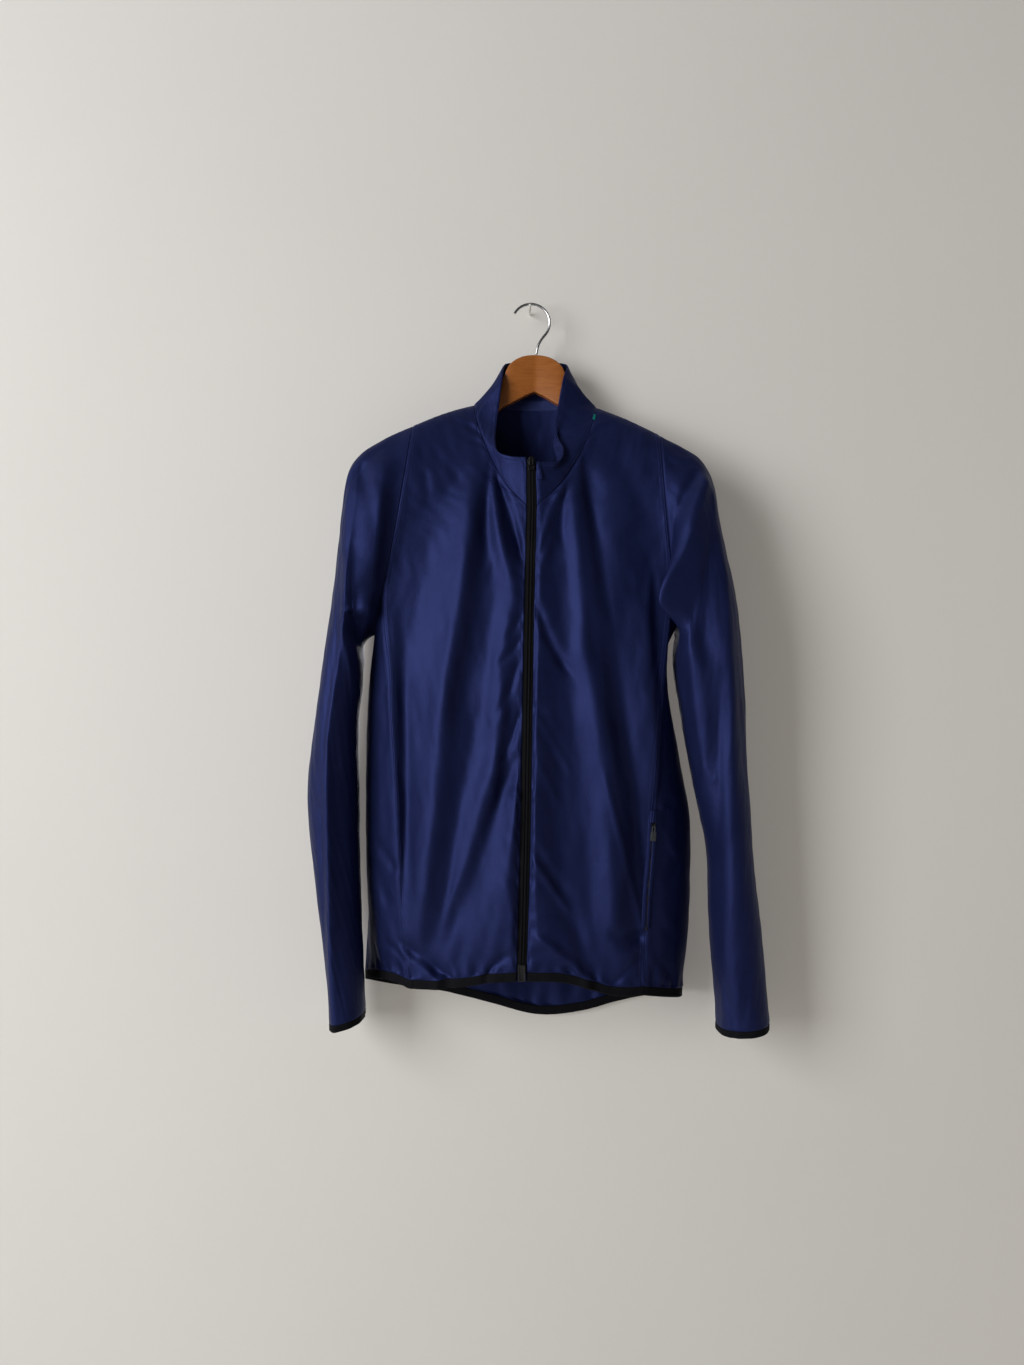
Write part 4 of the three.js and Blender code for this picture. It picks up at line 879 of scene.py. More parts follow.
def clothMaterial(name, look):
    material, tree, shader, place = newMaterial(name)
    mottle = node(tree, "TexNoise", "Fac", Vector=place, Scale=22.0, Detail=4.0, Roughness=0.6)
    weave = node(tree, "Math", 0, *(ribs(tree, look["thread"], way, 0.4, 1.0) for way in "XY"),
                 operation="MULTIPLY")
    crush = node(tree, "TexNoise", "Fac", Vector=place, Scale=130.0, Detail=3.0, Roughness=0.55)
    uv = node(tree, "UVMap", "UV", uv_map="cloth")
    grain = node(tree, "Mapping", "Vector", Vector=uv, Scale=(1500, 190, 1))
    slub = node(tree, "TexNoise", "Fac", Vector=grain, Scale=1.0, Detail=3.0, Roughness=0.6)
    layers = [(crush, 0.45, 0.0007), (slub, 0.3, 0.00012), (weave, 0.25, 0.00008)]
    setUp(tree, shader, {
        "Base Color": ramp(tree, mottle, [(0.35, look["deep"]), (0.65, look["light"])]),
        "Normal": bumped(tree, layers), "Roughness": look["roughness"],
        "Metallic": look["metallic"], "Specular IOR Level": 0.15,
        "Sheen Weight": look["sheen"], "Sheen Roughness": 0.35,
        "Sheen Tint": (0.55, 0.62, 1.0, 1),
    })
    return material


def ribMaterial(name, colour, pitch, roughness):
    material, tree, shader, place = newMaterial(name)
    wave = ribs(tree, pitch, "X", 0.6)
    fluff = node(tree, "TexNoise", "Fac", Vector=place, Scale=900.0, Detail=2.0)
    # The colour follows the ribs and is darker in their grooves, where the bump is low: painted
    # shade in the grooves.
    setUp(tree, shader, {
        "Base Color": tinted(tree, wave, colour, 0.7, 0.1, 0.9),
        "Normal": bumped(tree, [(wave, 0.5, 0.00025), (fluff, 0.2, 0.0001)]),
        "Roughness": roughness, "Specular IOR Level": 0.12,
    })
    return material


def hardMaterial(name, colour, roughness, metallic=0.0, grain=400.0, depth=0.00004):
    material, tree, shader, place = newMaterial(name)
    noise = node(tree, "TexNoise", "Fac", Vector=place, Scale=grain, Detail=3.0)
    shine = node(tree, "MapRange", "Result", Value=noise,
                 **{"To Min": roughness * 0.85, "To Max": roughness * 1.15})
    setUp(tree, shader, {
        "Base Color": tinted(tree, noise, colour, 0.88, 0.3, 0.7), "Roughness": shine,
        "Normal": bumped(tree, [(noise, 0.3, depth)]), "Metallic": metallic,
    })
    return material


def woodMaterial(name):
    material, tree, shader, place = newMaterial(name)
    along = node(tree, "Mapping", "Vector", Vector=place, Scale=(9.0, 90.0, 90.0))
    grain = node(tree, "TexNoise", "Fac", Vector=along, Scale=4.0, Detail=6.0, Roughness=0.6,
                 Distortion=0.6)
    rings = node(tree, "TexWave", "Fac", Vector=along, Scale=1.6, Distortion=5.0, Detail=3.0,
                 bands_direction="Z")
    both = node(tree, "Mix", 0, data_type="FLOAT", Factor=0.18, A=grain, B=rings)
    setUp(tree, shader, {
        "Base Color": ramp(tree, both, [(0.15, (0.24, 0.07, 0.011)), (0.5, (0.36, 0.115, 0.02)),
                                        (0.85, (0.44, 0.16, 0.034))]),
        "Normal": bumped(tree, [(grain, 0.15, 0.0002)]), "Roughness": 0.38,
        "Coat Weight": 0.25, "Coat Roughness": 0.25,
    })
    return material


finishes = {
    "navy": clothMaterial("navyShellCloth", shellCloth),
    "thread": clothMaterial("navyThread", threadCloth),
    "neckBand": clothMaterial("neckTapeCloth", tapeCloth),
    "blackThread": ribMaterial("blackThread", (0.012, 0.012, 0.015), 0.0008, 0.6),
    "elastic": ribMaterial("blackElastic", (0.0045, 0.005, 0.0075), 0.0016, 0.85),
    "tape": ribMaterial("blackZipTape", (0.0035, 0.0038, 0.0055), 0.0011, 0.8),
    "coil": hardMaterial("blackZipCoil", (0.006, 0.006, 0.008), 0.36),
    "slider": hardMaterial("blackSlider", (0.008, 0.0085, 0.01), 0.26, 0.3),
    "grey": hardMaterial("greyRubber", (0.04, 0.045, 0.052), 0.55, grain=900.0, depth=0.0001),
    "wood": woodMaterial("orangeWood"),
    "chrome": hardMaterial("chromeWire", (0.4, 0.4, 0.41), 0.27, 1.0),
    "teal": ribMaterial("tealThread", (0.004, 0.19, 0.17), 0.0006, 0.6),
}


def finishPiece(piece, finish, slot, *nodes, body="jacket"):
    piece.data.materials.clear()
    piece.data.materials.append(finishes[finish])
    if nodes:
        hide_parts(*nodes)
    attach(piece, body)
    return piece


print("cloth: grids")

# A sheet: which way it faces, whether it closes to a tube, and how much it swells. Its seams
# give the lines of stitches beside each sewn edge.
plain = {"turned": False, "closed": False, "thick": mesh["cloth"], "proud": 0, "round": 0.35,
         "swell": 0.26, "extra": []}
small = {**plain, "round": 0.4, "turned": True}
sheets, pieces = {}, {}


# Makes a sheet's piece and keeps both under its name.
def makeSheet(name, sheet, finish, slot, *nodes):
    sheets[name] = sheet
    pieces[name] = finishPiece(shell(name, sheet), finish, slot, *nodes)


doubleRow = [2.6, 6.2]
frontSeams = {"start": [2.4], "end": doubleRow, "top": [2.6], "bottom": []}
backSeams = {**frontSeams, "start": doubleRow}
sideSeams = {**frontSeams, "end": [2.4]}
sleeveSeams = {"top": [], "bottom": []}
collarSeams = {"top": [2.4], "start": [2.4], "end": [2.4], "bottom": [4]}
panels = {
    "frontRight": (frontGrid("right"), 101, frontSeams, ["front_right"],
                   {"extra": [hemGathers, zipPuckers]}),
    "frontLeft": (frontGrid("left"), 131, frontSeams, ["front_left"],
                  {"turned": True, "extra": [hemGathers, zipPuckers]}),
    "backPanel": (backGrid(), 161, backSeams, ["back"], {"extra": [hemGathers]}),
    "sideRight": (sideGrid("right"), 191, sideSeams, ["side_right"], {"extra": [hemGathers]}),
    "sideLeft": (sideGrid("left"), 221, sideSeams, ["side_left"],
                 {"turned": True, "extra": [hemGathers]}),
    "sleeveRight": (sleeveGrid("right"), 251, sleeveSeams,
                    ["sleeve_front_right", "sleeve_back_right"],
                    {"turned": True, "closed": True}),
    "sleeveLeft": (sleeveGrid("left"), 281, sleeveSeams,
                   ["sleeve_front_left", "sleeve_back_left"], {"closed": True}),
    "standCollar": (collarGrid(), 311, collarSeams, ["collar"],
                    {"turned": True, "swell": 0.25, "thick": mesh["collarCloth"]}),
}
for name, (grid, seed, sewn, nodes, own) in panels.items():
    sheet = {**plain, **own, "grid": grid, "seed": seed, "seams": sewn}
    relieve(sheet)
    makeSheet(name, sheet, "navy", "navy_shell", *nodes)

# The bindings: elastic bands that hang from the cloth's edges, a little gathered.
binding = {"hem": 9.2, "cuff": 7, "rows": 9, "gather": 0.35,
           "proud": (mesh["bindingCloth"] - 1.2) / 2}
hemRuns = [sheets[name]["grid"][-1][::way] for name, way in (
    ("frontRight", 1), ("sideRight", 1), ("backPanel", 1), ("sideLeft", -1), ("frontLeft", -1))]
bands = {
    "hemBinding": (np.concatenate([hemRuns[0], *(run[1:] for run in hemRuns[1:])]),
                   binding["hem"], "hem_binding", {}),
    "cuffBindingRight": (sheets["sleeveRight"]["grid"][-1], binding["cuff"],
                         "cuff_binding_right", {"turned": True, "closed": True}),
    "cuffBindingLeft": (sheets["sleeveLeft"]["grid"][-1], binding["cuff"],
                        "cuff_binding_left", {"closed": True}),
}
for number, (name, (edge, height, nodeName, own)) in enumerate(bands.items()):
    run = runAlong(edge[None], 1)[0]
    share = np.linspace(0, 1, binding["rows"])[:, None]
    sheet = {**plain, **own, "grid": edge[None] + share[..., None] * np.array([0, 0, -height]),
             "thick": mesh["bindingCloth"], "round": 0.5, "proud": binding["proud"]}
    push = binding["gather"] * swell(run, run * 0, 11, 6, 400 + number)
    push = push[None] * np.sin(share * math.pi * 0.5 + 0.4)
    sheet["grid"] = sheet["grid"] + outward(sheet) * push[..., None]
    makeSheet(name, sheet, "elastic", "black_elastic", nodeName)

print("stitching")

# Rows of topstitching: for each piece, its sheets and how far from each edge the rows run.
frontRows = {"end": doubleRow, "start": [2.4], "top": [2.6]}
endRows = {"start": [2.4], "end": [2.4]}
topstitch = {
    "pitch": 2.9, "length": 2.1, "radius": 0.24,
    "rows": {
        "stitchesFrontRight": {"frontRight": frontRows},
        "stitchesFrontLeft": {"frontLeft": frontRows},
        "stitchesBack": {"backPanel": {"start": doubleRow, "end": doubleRow}},
        "stitchesSides": {"sideRight": endRows, "sideLeft": endRows},
        "stitchesCollar": {"standCollar": collarSeams},
        "stitchesSleeves": {"sleeveRight": {"top": [2.4]}, "sleeveLeft": {"top": [2.4]}},
        "stitchesBindings": {"hemBinding": {"top": [1.7]}, "cuffBindingRight": {"top": [1.5]},
                             "cuffBindingLeft": {"top": [1.5]}},
    },
}


# The line on a sheet that runs beside one of its edges, with the way out of the cloth.
def besideEdge(name, side, distance):
    grid = sheets[name]["grid"]
    lengths, both = runAlong(grid, 1), np.concatenate([grid, outward(sheets[name])], -1)
    if side in ("top", "bottom"):
        lengths, both = runAlong(grid, 0).T, both.transpose(1, 0, 2)
    if side in ("end", "bottom"):
        lengths, both = (lengths[:, -1:] - lengths)[:, ::-1], both[:, ::-1]
    made = np.array([readAt(distance, length, line) for length, line in zip(lengths, both)])
    return made[:, :3], made[:, 3:]


# One stitch is a short spindle, copied along every row: along, whether it is wide, and rise.
stitchShape = [(-0.5, 0, -0.3), (-0.3, 1, 0.2), (0.3, 1, 0.2), (0.5, 0, -0.3)]


def stitchMesh(name, rows, look):
    points, faces = [], []
    for line, out in rows:
        run = runAlong(line[:, None], 0)[:, 0]
        places = np.arange(look["pitch"], run[-1] - look["pitch"], look["pitch"])
        at, up = readAt(places, run, line), readAt(places, run, out)
        ahead = unit(readAt(places + 1, run, line) - at)
        for centre, forward, across, rise in zip(at, ahead, np.cross(up, ahead), up):
            first = len(points)
            for along, wide, high in stitchShape:
                middle = centre + forward * along * look["length"] + rise * high * look["radius"]
                ring = ((1, 0), (0, 1), (-1, 0), (0, -1)) if wide else ((0, 0),)
                points.extend(middle + (across * c + rise * d) * look["radius"] for c, d in ring)
            for k in range(4):
                a, b = first + 1 + k, first + 1 + (k + 1) % 4
                faces += [(first, a, b), (a, a + 4, b + 4, b), (first + 9, b + 4, a + 4)]
    piece = addMesh(name, points, faces, np.zeros((len(points), 2)))
    made = bmesh.new()
    made.from_mesh(piece.data)
    bmesh.ops.recalc_face_normals(made, faces=made.faces)
    made.to_mesh(piece.data)
    made.free()
    return piece


for name, rows in topstitch["rows"].items():
    lines = []
    for sheetName, sides in rows.items():
        for side, distances in sides.items():
            for distance in distances:
                line, out = besideEdge(sheetName, side, distance)
                lines.append((line + out * sheets[sheetName]["proud"], out))
    navy = name != "stitchesBindings"
    pieces[name] = finishPiece(stitchMesh(name, lines, topstitch),
                               "thread" if navy else "blackThread",
                               "navy_shell" if navy else "black_elastic")

print("small cloth pieces")


# A strip laid on the cloth: its rows follow a line, and its section is given as
# across and outward offsets.
def strip(line, out, section):
    aside = unit(np.cross(unit(np.gradient(line, axis=0)), out))
    wide, high = (np.array(column)[None, :, None] for column in zip(*section))
    return line[:, None] + aside[:, None] * wide + out[:, None] * high


# The part of a line between two heights, top first.
def cutLine(line, out, top, foot, count):
    both = np.concatenate([line, out], 1)[np.argsort(line[:, 2])]
    made = readAt(np.linspace(top, foot, count), both[:, 2], both)
    return made[:, :3], unit(made[:, 3:])


# The pocket's zip: a welt with its lips, the coil between them and a garage at the top.
pocket = {
    "top": -603, "foot": -736, "rows": 90, "ripple": 0.22,
    "welt": [(-5.6, 0.1), (-4.6, 0.7), (-3.4, 1.25), (-2.3, 1.6), (-1.4, 1.5), (-0.8, 1.0),
             (-0.4, 0.5), (0.4, 0.5), (0.8, 1.0), (1.4, 1.45), (2.3, 1.5), (3.4, 1.15),
             (4.6, 0.6), (5.6, 0.1)],
    "coil": [(-0.75, 0.9), (-0.45, 1.15), (0, 1.25), (0.45, 1.15), (0.75, 0.9)],
    "garage": (-599, -613), "garageHalf": 5.2, "garageRise": 2.0, "garageGather": 0.35,
}
seam = besideEdge("frontLeft", "end", 0)
line, out = cutLine(*seam, pocket["top"], pocket["foot"], pocket["rows"])
share = np.linspace(0, 1, pocket["rows"])
ends = ease(share, 0, 0.05) * (1 - ease(share, 0.95, 1))
ripple = pocket["ripple"] * swell(runAlong(line[:, None], 0)[:, 0], share * 0, 12, 6, 501)
welt = strip(line, out * (ends[:, None] + 0.02), pocket["welt"])
welt += out[:, None] * (ripple * ends)[:, None, None]
coil = strip(line, out, pocket["coil"])
line, out = cutLine(*seam, *pocket["garage"], 18)
across = np.linspace(-1, 1, 19)
garage = strip(line, out, [(pocket["garageHalf"] * a, 0.5 + pocket["garageRise"] * (1 - a * a))
                           for a in across])
garage += out[:, None] * (pocket["garageGather"] * np.sin(across * 13 + 0.8))[None, :, None]
for name, grid, thick, finish, slot in (("pocketWelt", welt, 0.6, "navy", "navy_shell"),
                                        ("pocketGarage", garage, 0.7, "navy", "navy_shell"),
                                        ("pocketCoil", coil, 0.5, "coil", "black_tape")):
    makeSheet(name, {**small, "grid": grid, "thick": thick}, finish, slot, "pocket_zip")

# The tab that covers the top end of the front zip.
zipTab = {"centre": (9.5, -66.9, -211), "wide": 5.8, "tall": 21, "turn": -9, "crown": 0.9}
wide, tall = np.meshgrid(np.linspace(-1, 1, 15), np.linspace(1, -1, 31))
narrow = np.sqrt(np.clip(1 - np.clip((np.abs(tall) - 0.7) / 0.32, 0, 1) ** 2, 0.05, 1))
flat = np.stack([wide * narrow * zipTab["wide"] / 2, wide * 0, tall * zipTab["tall"] / 2], -1)
flat[..., 1] = 0.5 - zipTab["crown"] * (1 - wide ** 4) * (1 - np.abs(tall) ** 6)
flat[..., 1] += 0.18 * swell(flat[..., 2], flat[..., 0], 6, 5, 521)
turned = np.array(Matrix.Rotation(math.radians(zipTab["turn"]), 3, "Y"))
makeSheet("zipGarage", {**small, "grid": flat @ turned.T + zipTab["centre"], "thick": 0.8},
          "navy", "navy_shell", "zip_garage")

# Neck tape: covers the seam between the collar and the back, inside.
neckTape = {"above": [9, 7.5, 5, 2.5, 0.6], "below": [0.6, 2, 3.4], "inset": 0.35}
places, rows = np.linspace(0.03, 0.97, 60), []
for name, distances, first in (
        ("standCollar", neckTape["above"], np.searchsorted(stations, neckRows)),
        ("backPanel", neckTape["below"], len(spread(edgeLengths["shoulder"], (True, False))) - 1)):
    for distance in distances:
        line, out = (side[first:-first] for side in besideEdge(name, "top", distance))
        line = line - out * (sheets[name]["thick"] + neckTape["inset"])
        run = runAlong(line[None], 1)[0]
        rows.append(readAt(places * run[-1], run, line))
makeSheet("neckTape", {**small, "grid": np.array(rows), "thick": 0.5}, "neckBand", "navy_shell")

# A bar tack in teal thread on the seam by the left shoulder.
tack = {"from": (68.5, -135), "to": (75, -142.5), "count": 9, "length": 4.4, "radius": 0.45}
grid, ways = (own.reshape(-1, 3) for own in (sheets["frontLeft"]["grid"],
                                             outward(sheets["frontLeft"])))
near = [np.argmin(((grid[:, ::2] - spot) ** 2).sum(1))
        for spot in np.linspace(tack["from"], tack["to"], tack["count"])]
start, end, out = grid[near[0]], grid[near[-1]], np.mean(ways[near], 0)
ahead = unit(end - start)
slant = (np.cross(out, ahead) + ahead * 0.5) * tack["length"]
rows = [(np.array([middle - slant, middle, middle + slant]), np.array([out] * 3))
        for middle in np.linspace(start, end, tack["count"]) + out * 0.5]
finishPiece(stitchMesh("tealTack", rows, {**tack, "pitch": tack["length"] * 1.1}), "teal",
            "navy_shell")

print("front zip")

# The front zip: tapes that meet in the middle, with the coil behind them. Each tape runs
# under the cloth, tucked in behind it, and has a cord beside its own edge.
frontZip = {
    "top": -203.5, "foot": -781, "rows": 170, "gap": 0.35, "under": (6, 4, 2, 0.6),
    "tuck": 2.6, "depth": 1.5, "cordAt": 1.7, "cordWide": 0.9,
    "coil": (-211.5, -768), "coilPitch": 1.5, "bar": (2.6, 0.7, 0.62), "barAside": 0.5,
    "barBehind": 2.0,
}
zipHeights = np.linspace(frontZip["top"], frontZip["foot"], frontZip["rows"])


def besideZip(side, distance):
    front = besideEdge("front" + side.capitalize(), "start", distance)[0]
    stand = besideEdge("standCollar", "start" if side == "right" else "end", distance)[0]
    line = np.concatenate([stand, front[panelRows >= neckRows - 1e-9]])
    line = line[np.argsort(line[:, 2])]
    return readAt(zipHeights, line[:, 2], line)


zipEdges = {side: besideZip(side, 0) for side in ("right", "left")}
zipMiddle = (zipEdges["right"] + zipEdges["left"]) / 2


def zipTape(side):
    sign = -1 if side == "right" else 1
    wide = np.abs(zipEdges[side][:, 0] - zipMiddle[:, 0])
    grid = [besideZip(side, under) + [0, frontZip["tuck"], 0] for under in frontZip["under"]]
    for share in np.linspace(0, 1, 13):
        line = zipEdges[side] * (1 - share) + zipMiddle * share
        reach = wide * (1 - share)
        line[:, 0] = zipMiddle[:, 0] + sign * np.maximum(reach, frontZip["gap"])
        cord = hump(reach - frontZip["cordAt"], frontZip["cordWide"])
        line[:, 1] += frontZip["depth"] - cord - 0.25 * ease(share, 0, 0.3)
        grid.append(line)
    grid = np.stack(grid, 1)
    grid[..., 2] = zipHeights[:, None]
    return {**small, "grid": grid, "turned": sign > 0, "thick": 0.7}


for side in ("right", "left"):
    makeSheet("zipTape" + side.capitalize(), zipTape(side), "tape", "black_tape",
              "zip_tape_" + side)


# Hard pieces grow from a first block, with sizes and places in millimetres. Before each
# step only the pieces that it works on are selected.
def alone(*pieces):
    bpy.ops.object.select_all(action="DESELECT")
    for piece in pieces[::-1]:
        piece.select_set(True)
        bpy.context.view_layer.objects.active = piece


def startCube(name, place, size):
    alone()
    bpy.ops.mesh.primitive_cube_add(size=1, location=Vector(place) * mm, scale=Vector(size) * mm)
    piece = bpy.context.object
    piece.name = name
    bpy.ops.object.transform_apply(location=False, rotation=False, scale=True)
    return piece


# Opens a piece in edit mode with the picked faces selected.
def inEdit(piece, pick):
    bpy.context.view_layer.objects.active = piece
    piece.select_set(True)
    bpy.ops.object.mode_set(mode="EDIT")
    bpy.ops.mesh.select_mode(type="FACE")
    bpy.ops.mesh.select_all(action="DESELECT")
    made = bmesh.from_edit_mesh(piece.data)
    made.normal_update()
    for face in made.faces:
        face.select_set(bool(pick(face)))
    bmesh.update_edit_mesh(piece.data)


def lowFace(face):
    return face.normal.z < -0.9


def frontFace(face):
    return face.normal.y < -0.9


def grow(x, y, z):
    bpy.ops.mesh.extrude_region_move(TRANSFORM_OT_translate={"value": Vector((x, y, z)) * mm})


# A sunk field inside a rim.
def sink(rim, depth):
    bpy.ops.mesh.inset(thickness=rim * mm, depth=0)
    grow(0, depth, 0)


# Ends the editing and rounds the edges over.
def softenEdges(piece, width, segments=2):
    bpy.ops.object.mode_set(mode="OBJECT")
    bevel = piece.modifiers.new("edges", "BEVEL")
    bevel.width, bevel.segments, bevel.limit_method = width * mm, segments, "ANGLE"
    alone(piece)
    bpy.ops.object.modifier_apply(modifier="edges")
    bpy.ops.object.shade_smooth_by_angle(angle=math.radians(40))


# Joins the parts, settles them at the origin and moves them by a matrix if one is given.
def settled(name, pieces, matrix=None):
    alone(*pieces)
    if len(pieces) > 1:
        bpy.ops.object.join()
    piece = bpy.context.object
    piece.name = name
    bpy.ops.object.transform_apply(location=True, rotation=True, scale=True)
    if matrix:
        piece.data.transform(matrix)
        piece.data.update()
    return piece


# Coil: one bar of thread, then copied down the gap, left and right by turns.
def coilBars(look):
    bar = startCube("zipCoil", (0, 0, 0), look["bar"])
    softenEdges(bar, 0.2, 1)
    settled("zipCoil", [bar])
    source = np.array([v.co[:] for v in bar.data.vertices]) / mm
    polygons = [tuple(p.vertices) for p in bar.data.polygons]
    bpy.data.objects.remove(bar)
    points, faces = [], []
    for number, z in enumerate(np.arange(*look["coil"], -look["coilPitch"])):
        x, y = readAt(z, zipHeights[::-1], zipMiddle[::-1, :2])
        aside = look["barAside"] if number % 2 else -look["barAside"]
        first = len(points)
        points.extend(source + np.array([x + aside, y + look["barBehind"], z]))
        faces.extend(tuple(first + k for k in face) for face in polygons)
    return addMesh("zipCoil", points, faces, np.zeros((len(points), 2)))


finishPiece(coilBars(frontZip), "coil", "black_zip", "zip_teeth")

print("hanger")

hangerLook = {"crown": (7, 0, -61), "tilt": 1.7, "sweep": 0.11, "curl": 0.0003, "step": 4,
              "tips": [192, 194.5, 196], "edge": 2.2}


# The wood grows from a thin block at its middle, out to each tip by short extrusions.
def hangerWood(look):
    rows = np.array(hangerSections, float)
    reach = np.concatenate([[1], np.arange(look["step"], look["tips"][0], look["step"]),
                            look["tips"]])
    both, own = (spanLine(points)(np.linspace(0, 1, 2001))
                 for points in (np.concatenate([rows[1:2] * [-1, 1, 1, 1], rows]), rows))
    top, half = (np.interp(reach, both[:, 0], both[:, k]) for k in (1, 3))
    bottom = np.interp(reach, own[:, 0], own[:, 2])
    depth = -look["sweep"] * reach - look["curl"] * reach ** 2
    middle, tall = (top + bottom) / 2, top - bottom
    block = startCube("hangerWood", (0, depth[0], middle[0]), (2 * reach[0], 2 * half[0], tall[0]))
    for sign in (1, -1):
        inEdit(block, lambda face: face.normal.x * sign > 0.9)
        line = np.stack([sign * reach, depth, middle], -1)
        for k in range(1, len(reach)):
            grow(*(line[k] - line[k - 1]))
            bpy.ops.transform.resize(value=(1, half[k] / half[k - 1], tall[k] / tall[k - 1]),
                                     center_override=Vector(line[k]) * mm)
        bpy.ops.object.mode_set(mode="OBJECT")
    softenEdges(block, look["edge"], 3)
    place = Matrix.Translation(Vector(look["crown"]) * mm)
    tilt = Matrix.Rotation(math.radians(look["tilt"]), 4, "Y")
    return settled("hangerWood", [block], place @ tilt)


pieces["hangerWood"] = finishPiece(hangerWood(hangerLook), "wood", "pale_wood", "hanger")

print("sliders and pulls")

# A slider: shield plate with a sunk face, a rear plate and a bridge for the pull.
sliderLooks = {
    "zipSlider": {"size": (9.6, 1.25, 11), "taper": 0.66, "front": -2.5, "rear": 1.3,
                  "arch": 3.4, "archWide": 1.7},
    "pocketSlider": {"size": (5.6, 1.25, 9), "taper": 0.7, "front": -0.9, "rear": None,
                     "arch": 2.6, "archWide": 1.5},
}


def shield(name, place, size, taper):
    plate = startCube(name, place, size)
    inEdit(plate, lowFace)
    bpy.ops.transform.resize(value=(taper, 1, 1))
    return plate


def sliderBody(name, look, matrix):
    wide, thick, tall = look["size"]
    face, arch = look["front"], look["arch"]
    front = shield(name, (0, face + 0.5 * thick, 0), look["size"], look["taper"])
    inEdit(front, frontFace)
    sink(1.1, 0.3)
    softenEdges(front, 0.35)
    parts = [front]
    if look["rear"]:
        rear = shield(name + "Rear", (0, look["rear"] + 0.5, 0), (wide * 0.48, 1, tall),
                      look["taper"])
        softenEdges(rear, 0.3)
        post = startCube(name + "Post", (0, -0.3, tall / 2 - 1.8), (2, 4.2, 2.4))
        softenEdges(post, 0.3, 1)
        parts += [rear, post]
    # The bridge grows out of a foot, down along the slider and back in to it.
    bridge = startCube(name + "Bridge", (0, face - 0.5, tall * 0.31), (look["archWide"], 1.2, 1.1))
    inEdit(bridge, frontFace)
    grow(0, 1.6 - arch, 0)
    grow(0, -0.9, 0)
    inEdit(bridge, lambda own: lowFace(own) and
           own.calc_center_median().y < (face - arch + 0.95) * mm)
    grow(0, 0, 1.1 - tall * 0.62)
    grow(0, 0, -1.1)
    inEdit(bridge, lambda own: own.normal.y > 0.9 and
           own.calc_center_median().z < -tall * 0.28 * mm)
    grow(0, arch - 0.3, 0)
    softenEdges(bridge, 0.25)
    return settled(name, [*parts, bridge], matrix)


# A pull tab: a plate with a window for the bridge and raised bars to grip. The margin is
# half of the bar that turns in the bridge.
pullLooks = {
    "zipPull": {"size": (6, 1.4, 10.2), "window": (2.5, 5.2), "margin": 0.75, "neck": 1,
                "shoulder": 1, "bars": 1, "barPitch": 1.7},
    "pocketPull": {"size": (6.6, 1.5, 17), "window": (2.8, 5.6), "margin": 0.75, "neck": 0.66,
                   "shoulder": 1.1, "bars": 4, "barPitch": 1.7},
}


def pullTab(name, look, matrix):
    wide, thick, long = look["size"]
    openWide, openTall = look["window"]
    margin, shoulder = look["margin"], openTall + look["shoulder"]
    centre = long / 2 - margin
    tab = startCube(name, (0, 0, centre), look["size"])
    # Five planes cut the window and the shoulder, and the hole is taken out between them.
    for x, z in ((openWide / 2, 0), (-openWide / 2, 0), (0, openTall), (0, margin),
                 (0, shoulder)):
        inEdit(tab, lambda face: True)
        bpy.ops.mesh.bisect(plane_co=(x * mm, 0, z * mm), plane_no=(1, 0, 0) if x else (0, 0, 1))
    bpy.ops.object.mode_set(mode="OBJECT")

    def inWindow(face):
        spot = face.calc_center_median() / mm
        return (abs(face.normal.y) > 0.9 and abs(spot.x) < openWide / 2
                and margin < spot.z + centre < openTall)

    inEdit(tab, inWindow)
    bpy.ops.mesh.bridge_edge_loops()
    # The end at the slider is narrower than the end to grip.
    inEdit(tab, lambda face: face.calc_center_median().z / mm + centre < openTall)
    bpy.ops.transform.resize(value=(look["neck"], 1, 1))
    softenEdges(tab, 0.4)
    parts = [tab]
    for z in shoulder + 0.9 + np.arange(look["bars"]) * look["barPitch"]:
        if z < long - margin - 1.4:
            parts.append(startCube(name + "Bar", (0, 0, z), (wide - 1.6, thick + 0.5, 0.7)))
            softenEdges(parts[-1], 0.2, 1)
    return settled(name, parts, matrix)


def placed(place, turn=0.0, basis=None):
    matrix = Matrix.Translation(Vector(place) * mm)
    if basis:
        matrix = matrix @ Matrix(basis).transposed().to_4x4()
    return matrix @ Matrix.Rotation(math.radians(turn), 4, "X")


# Where they sit: the place, the turn about x and, in the side seam, the seam's own axes.
pocketBasis = ((0.96723, 0.24863, -0.05152), (-0.24697, 0.96840, 0.03149),
               (0.05829, -0.01774, 0.99814))
for name, nodeName, finish, slot, body, matrix in (
        ("zipSlider", "zip_slider", "slider", "black_zip", "jacket", placed((0.5, -65.6, -205))),
        ("zipPull", "zip_pull", "slider", "black_zip", "front_zip_pull",
         placed((0.5, -69.65, -205), -5)),
        ("pocketSlider", "pocket_slider", "slider", "black_zip", "jacket",
         placed((139.5, -65.9, -617.5), basis=pocketBasis)),
        ("pocketPull", "pocket_pull", "grey", "grey_rubber", "side_zip_pull",
         placed((140, -67.885, -617.528), 178.2, pocketBasis))):
    if name in sliderLooks:
        made = sliderBody(name, sliderLooks[name], matrix)
    else:
        made = pullTab(name, pullLooks[name], matrix)
    finishPiece(made, finish, slot, nodeName, body=body)

# The box at the foot of the front zip.
zipBox = {"place": (-10.6, -82.9, -780), "size": (8.2, 3.8, 19), "rim": 1.4, "sink": 0.5,
          "edge": 0.8}
foot = startCube("zipBox", zipBox["place"], zipBox["size"])
inEdit(foot, frontFace)
sink(zipBox["rim"], zipBox["sink"])
softenEdges(foot, zipBox["edge"], 3)
finishPiece(settled("zipBox", [foot]), "coil", "black_zip", "zip_box")

print("other nodes: materials")
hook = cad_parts["hanger_hook"]
hook.data.materials.clear()
hook.data.materials.append(finishes["chrome"])

print("stage")

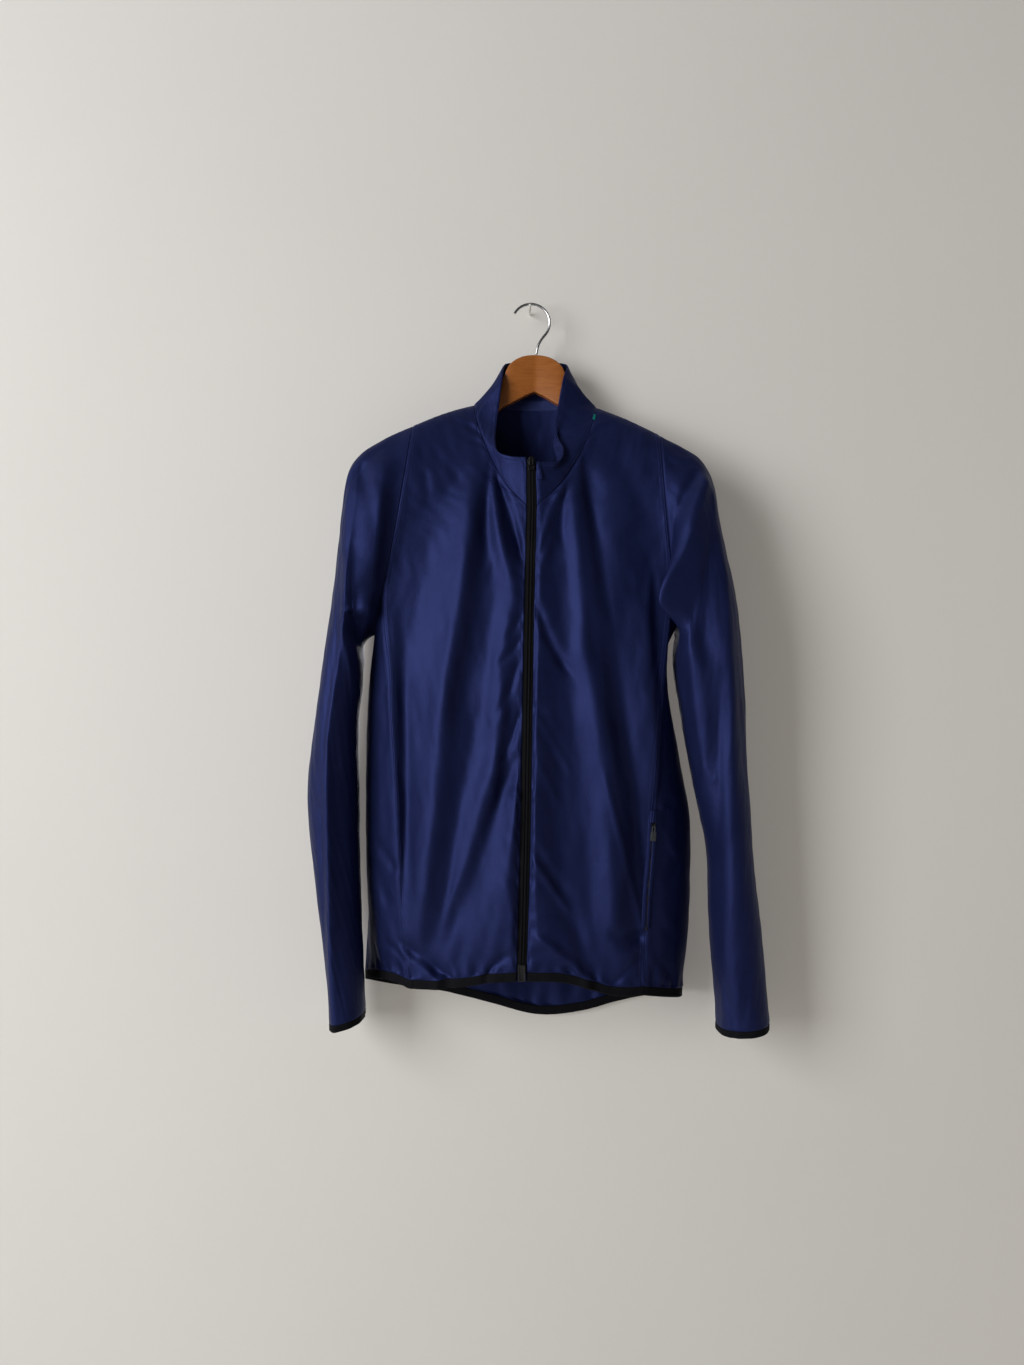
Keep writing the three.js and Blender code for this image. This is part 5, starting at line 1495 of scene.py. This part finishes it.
room = {
    "wall": (0.62, 0.615, 0.6), "floor": (0.6, 0.58, 0.55), "pin": (0.7, 0.69, 0.66),
    # The wall's faint glow is painted fill light that lifts the shadows on it.
    "paintedFillGlow": (1, 0.92, 0.8, 1), "paintedFillStrength": 0.13, "roughness": 0.9,
    "wallDepth": 29, "floorHeight": -1360, "wallTop": 2600, "reach": 4000,
}


# Paint. The wall's is seen through from behind and lets light through there. The wall also glows
# faintly: painted fill light that lifts its shadows.
def paint(name, colour, oneSided=False):
    material, tree, shader, place = newMaterial(name)
    patches = node(tree, "TexNoise", "Fac", Vector=place, Scale=1.6, Detail=5.0)
    setUp(tree, shader, {"Base Color": tinted(tree, patches, colour, 0.96, 0.3, 0.7),
                         "Roughness": room["roughness"]})
    if oneSided:
        # A faint glow on the wall: painted fill light that brightens its shadows, though the wall
        # is no lamp.
        setUp(tree, shader, {"Emission Color": room["paintedFillGlow"],
                             "Emission Strength": room["paintedFillStrength"]})
        seen = node(tree, "Math", 0, node(tree, "NewGeometry", "Backfacing"),
                    node(tree, "LightPath", "Is Shadow Ray"), operation="MAXIMUM")
        either = node(tree, "MixShader", 0, seen, shader.outputs[0],
                      node(tree, "BsdfTransparent", 0))
        setUp(tree, tree.nodes["Material Output"], {"Surface": either})
    return material


def staged(piece, material):
    piece.data.materials.append(material)
    piece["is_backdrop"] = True


reach, depth, low, top = (room[key] for key in ("reach", "wallDepth", "floorHeight", "wallTop"))
wallCorners = [(-reach, depth, low), (reach, depth, low), (reach, depth, top), (-reach, depth, top)]
floorCorners = [(-reach, -reach, low), (reach, -reach, low), (reach, reach, low),
                (-reach, reach, low)]
staged(addMesh("wall", wallCorners, [range(4)]), paint("palePaint", room["wall"], True))
staged(addMesh("floor", floorCorners, [range(4)]), paint("paleFloor", room["floor"]))

# The pin that carries the hook.
wallPin = {"radius": 1.5, "long": 36, "place": (0, 11, -1.6)}
alone()
bpy.ops.mesh.primitive_cylinder_add(vertices=24, radius=wallPin["radius"] * mm,
                                    depth=wallPin["long"] * mm, rotation=(math.pi / 2, 0, 0),
                                    location=Vector(wallPin["place"]) * mm)
pin = bpy.context.object
pin.name = "wallPin"
bpy.ops.object.transform_apply(location=True, rotation=True, scale=True)
softenEdges(pin, 0.5)
staged(pin, paint("paintedPin", room["pin"]))

# Lights: place, what they face, size, power and colour.
lights = {
    "windowLeft": ((-2.3, -2.05, 0.15), (0, 0, -0.45), (1.4, 2.2), 86, (1, 0.99, 0.98)),
    "roomBounce": ((1.9, -0.75, -0.5), (0.25, 0.03, -0.5), (0.5, 1.8), 2.5, (1, 0.86, 0.7)),
    "behind": ((0.45, 2.6, -0.1), (0, 0, -0.45), (0.9, 1.6), 34, (1, 0.99, 0.98)),
}
for name, (place, target, size, energy, colour) in lights.items():
    data = bpy.data.lights.new(name, "AREA")
    data.shape, data.size, data.size_y = "RECTANGLE", *size
    data.energy, data.color = energy, colour
    light = addObject(name, data)
    light.location = place
    aim = Vector(target) - Vector(place)
    light.rotation_euler = aim.to_track_quat("-Z", "Y").to_euler()

world = bpy.data.worlds.new("room")
world.use_nodes = True
setUp(world.node_tree, world.node_tree.nodes["Background"],
      {"Color": (0.9, 0.93, 1, 1), "Strength": 0.065})
bpy.context.scene.world = world
bpy.context.scene.view_settings.view_transform = "Standard"

camera = addObject("camera", bpy.data.cameras.new("camera"))
camera.location = (-0.0216, -1.321, -0.453)
camera.rotation_euler = (math.pi / 2, 0, 0)
camera.data.sensor_width = 36
camera.data.lens = 29.0
bpy.context.scene.camera = camera

low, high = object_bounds()
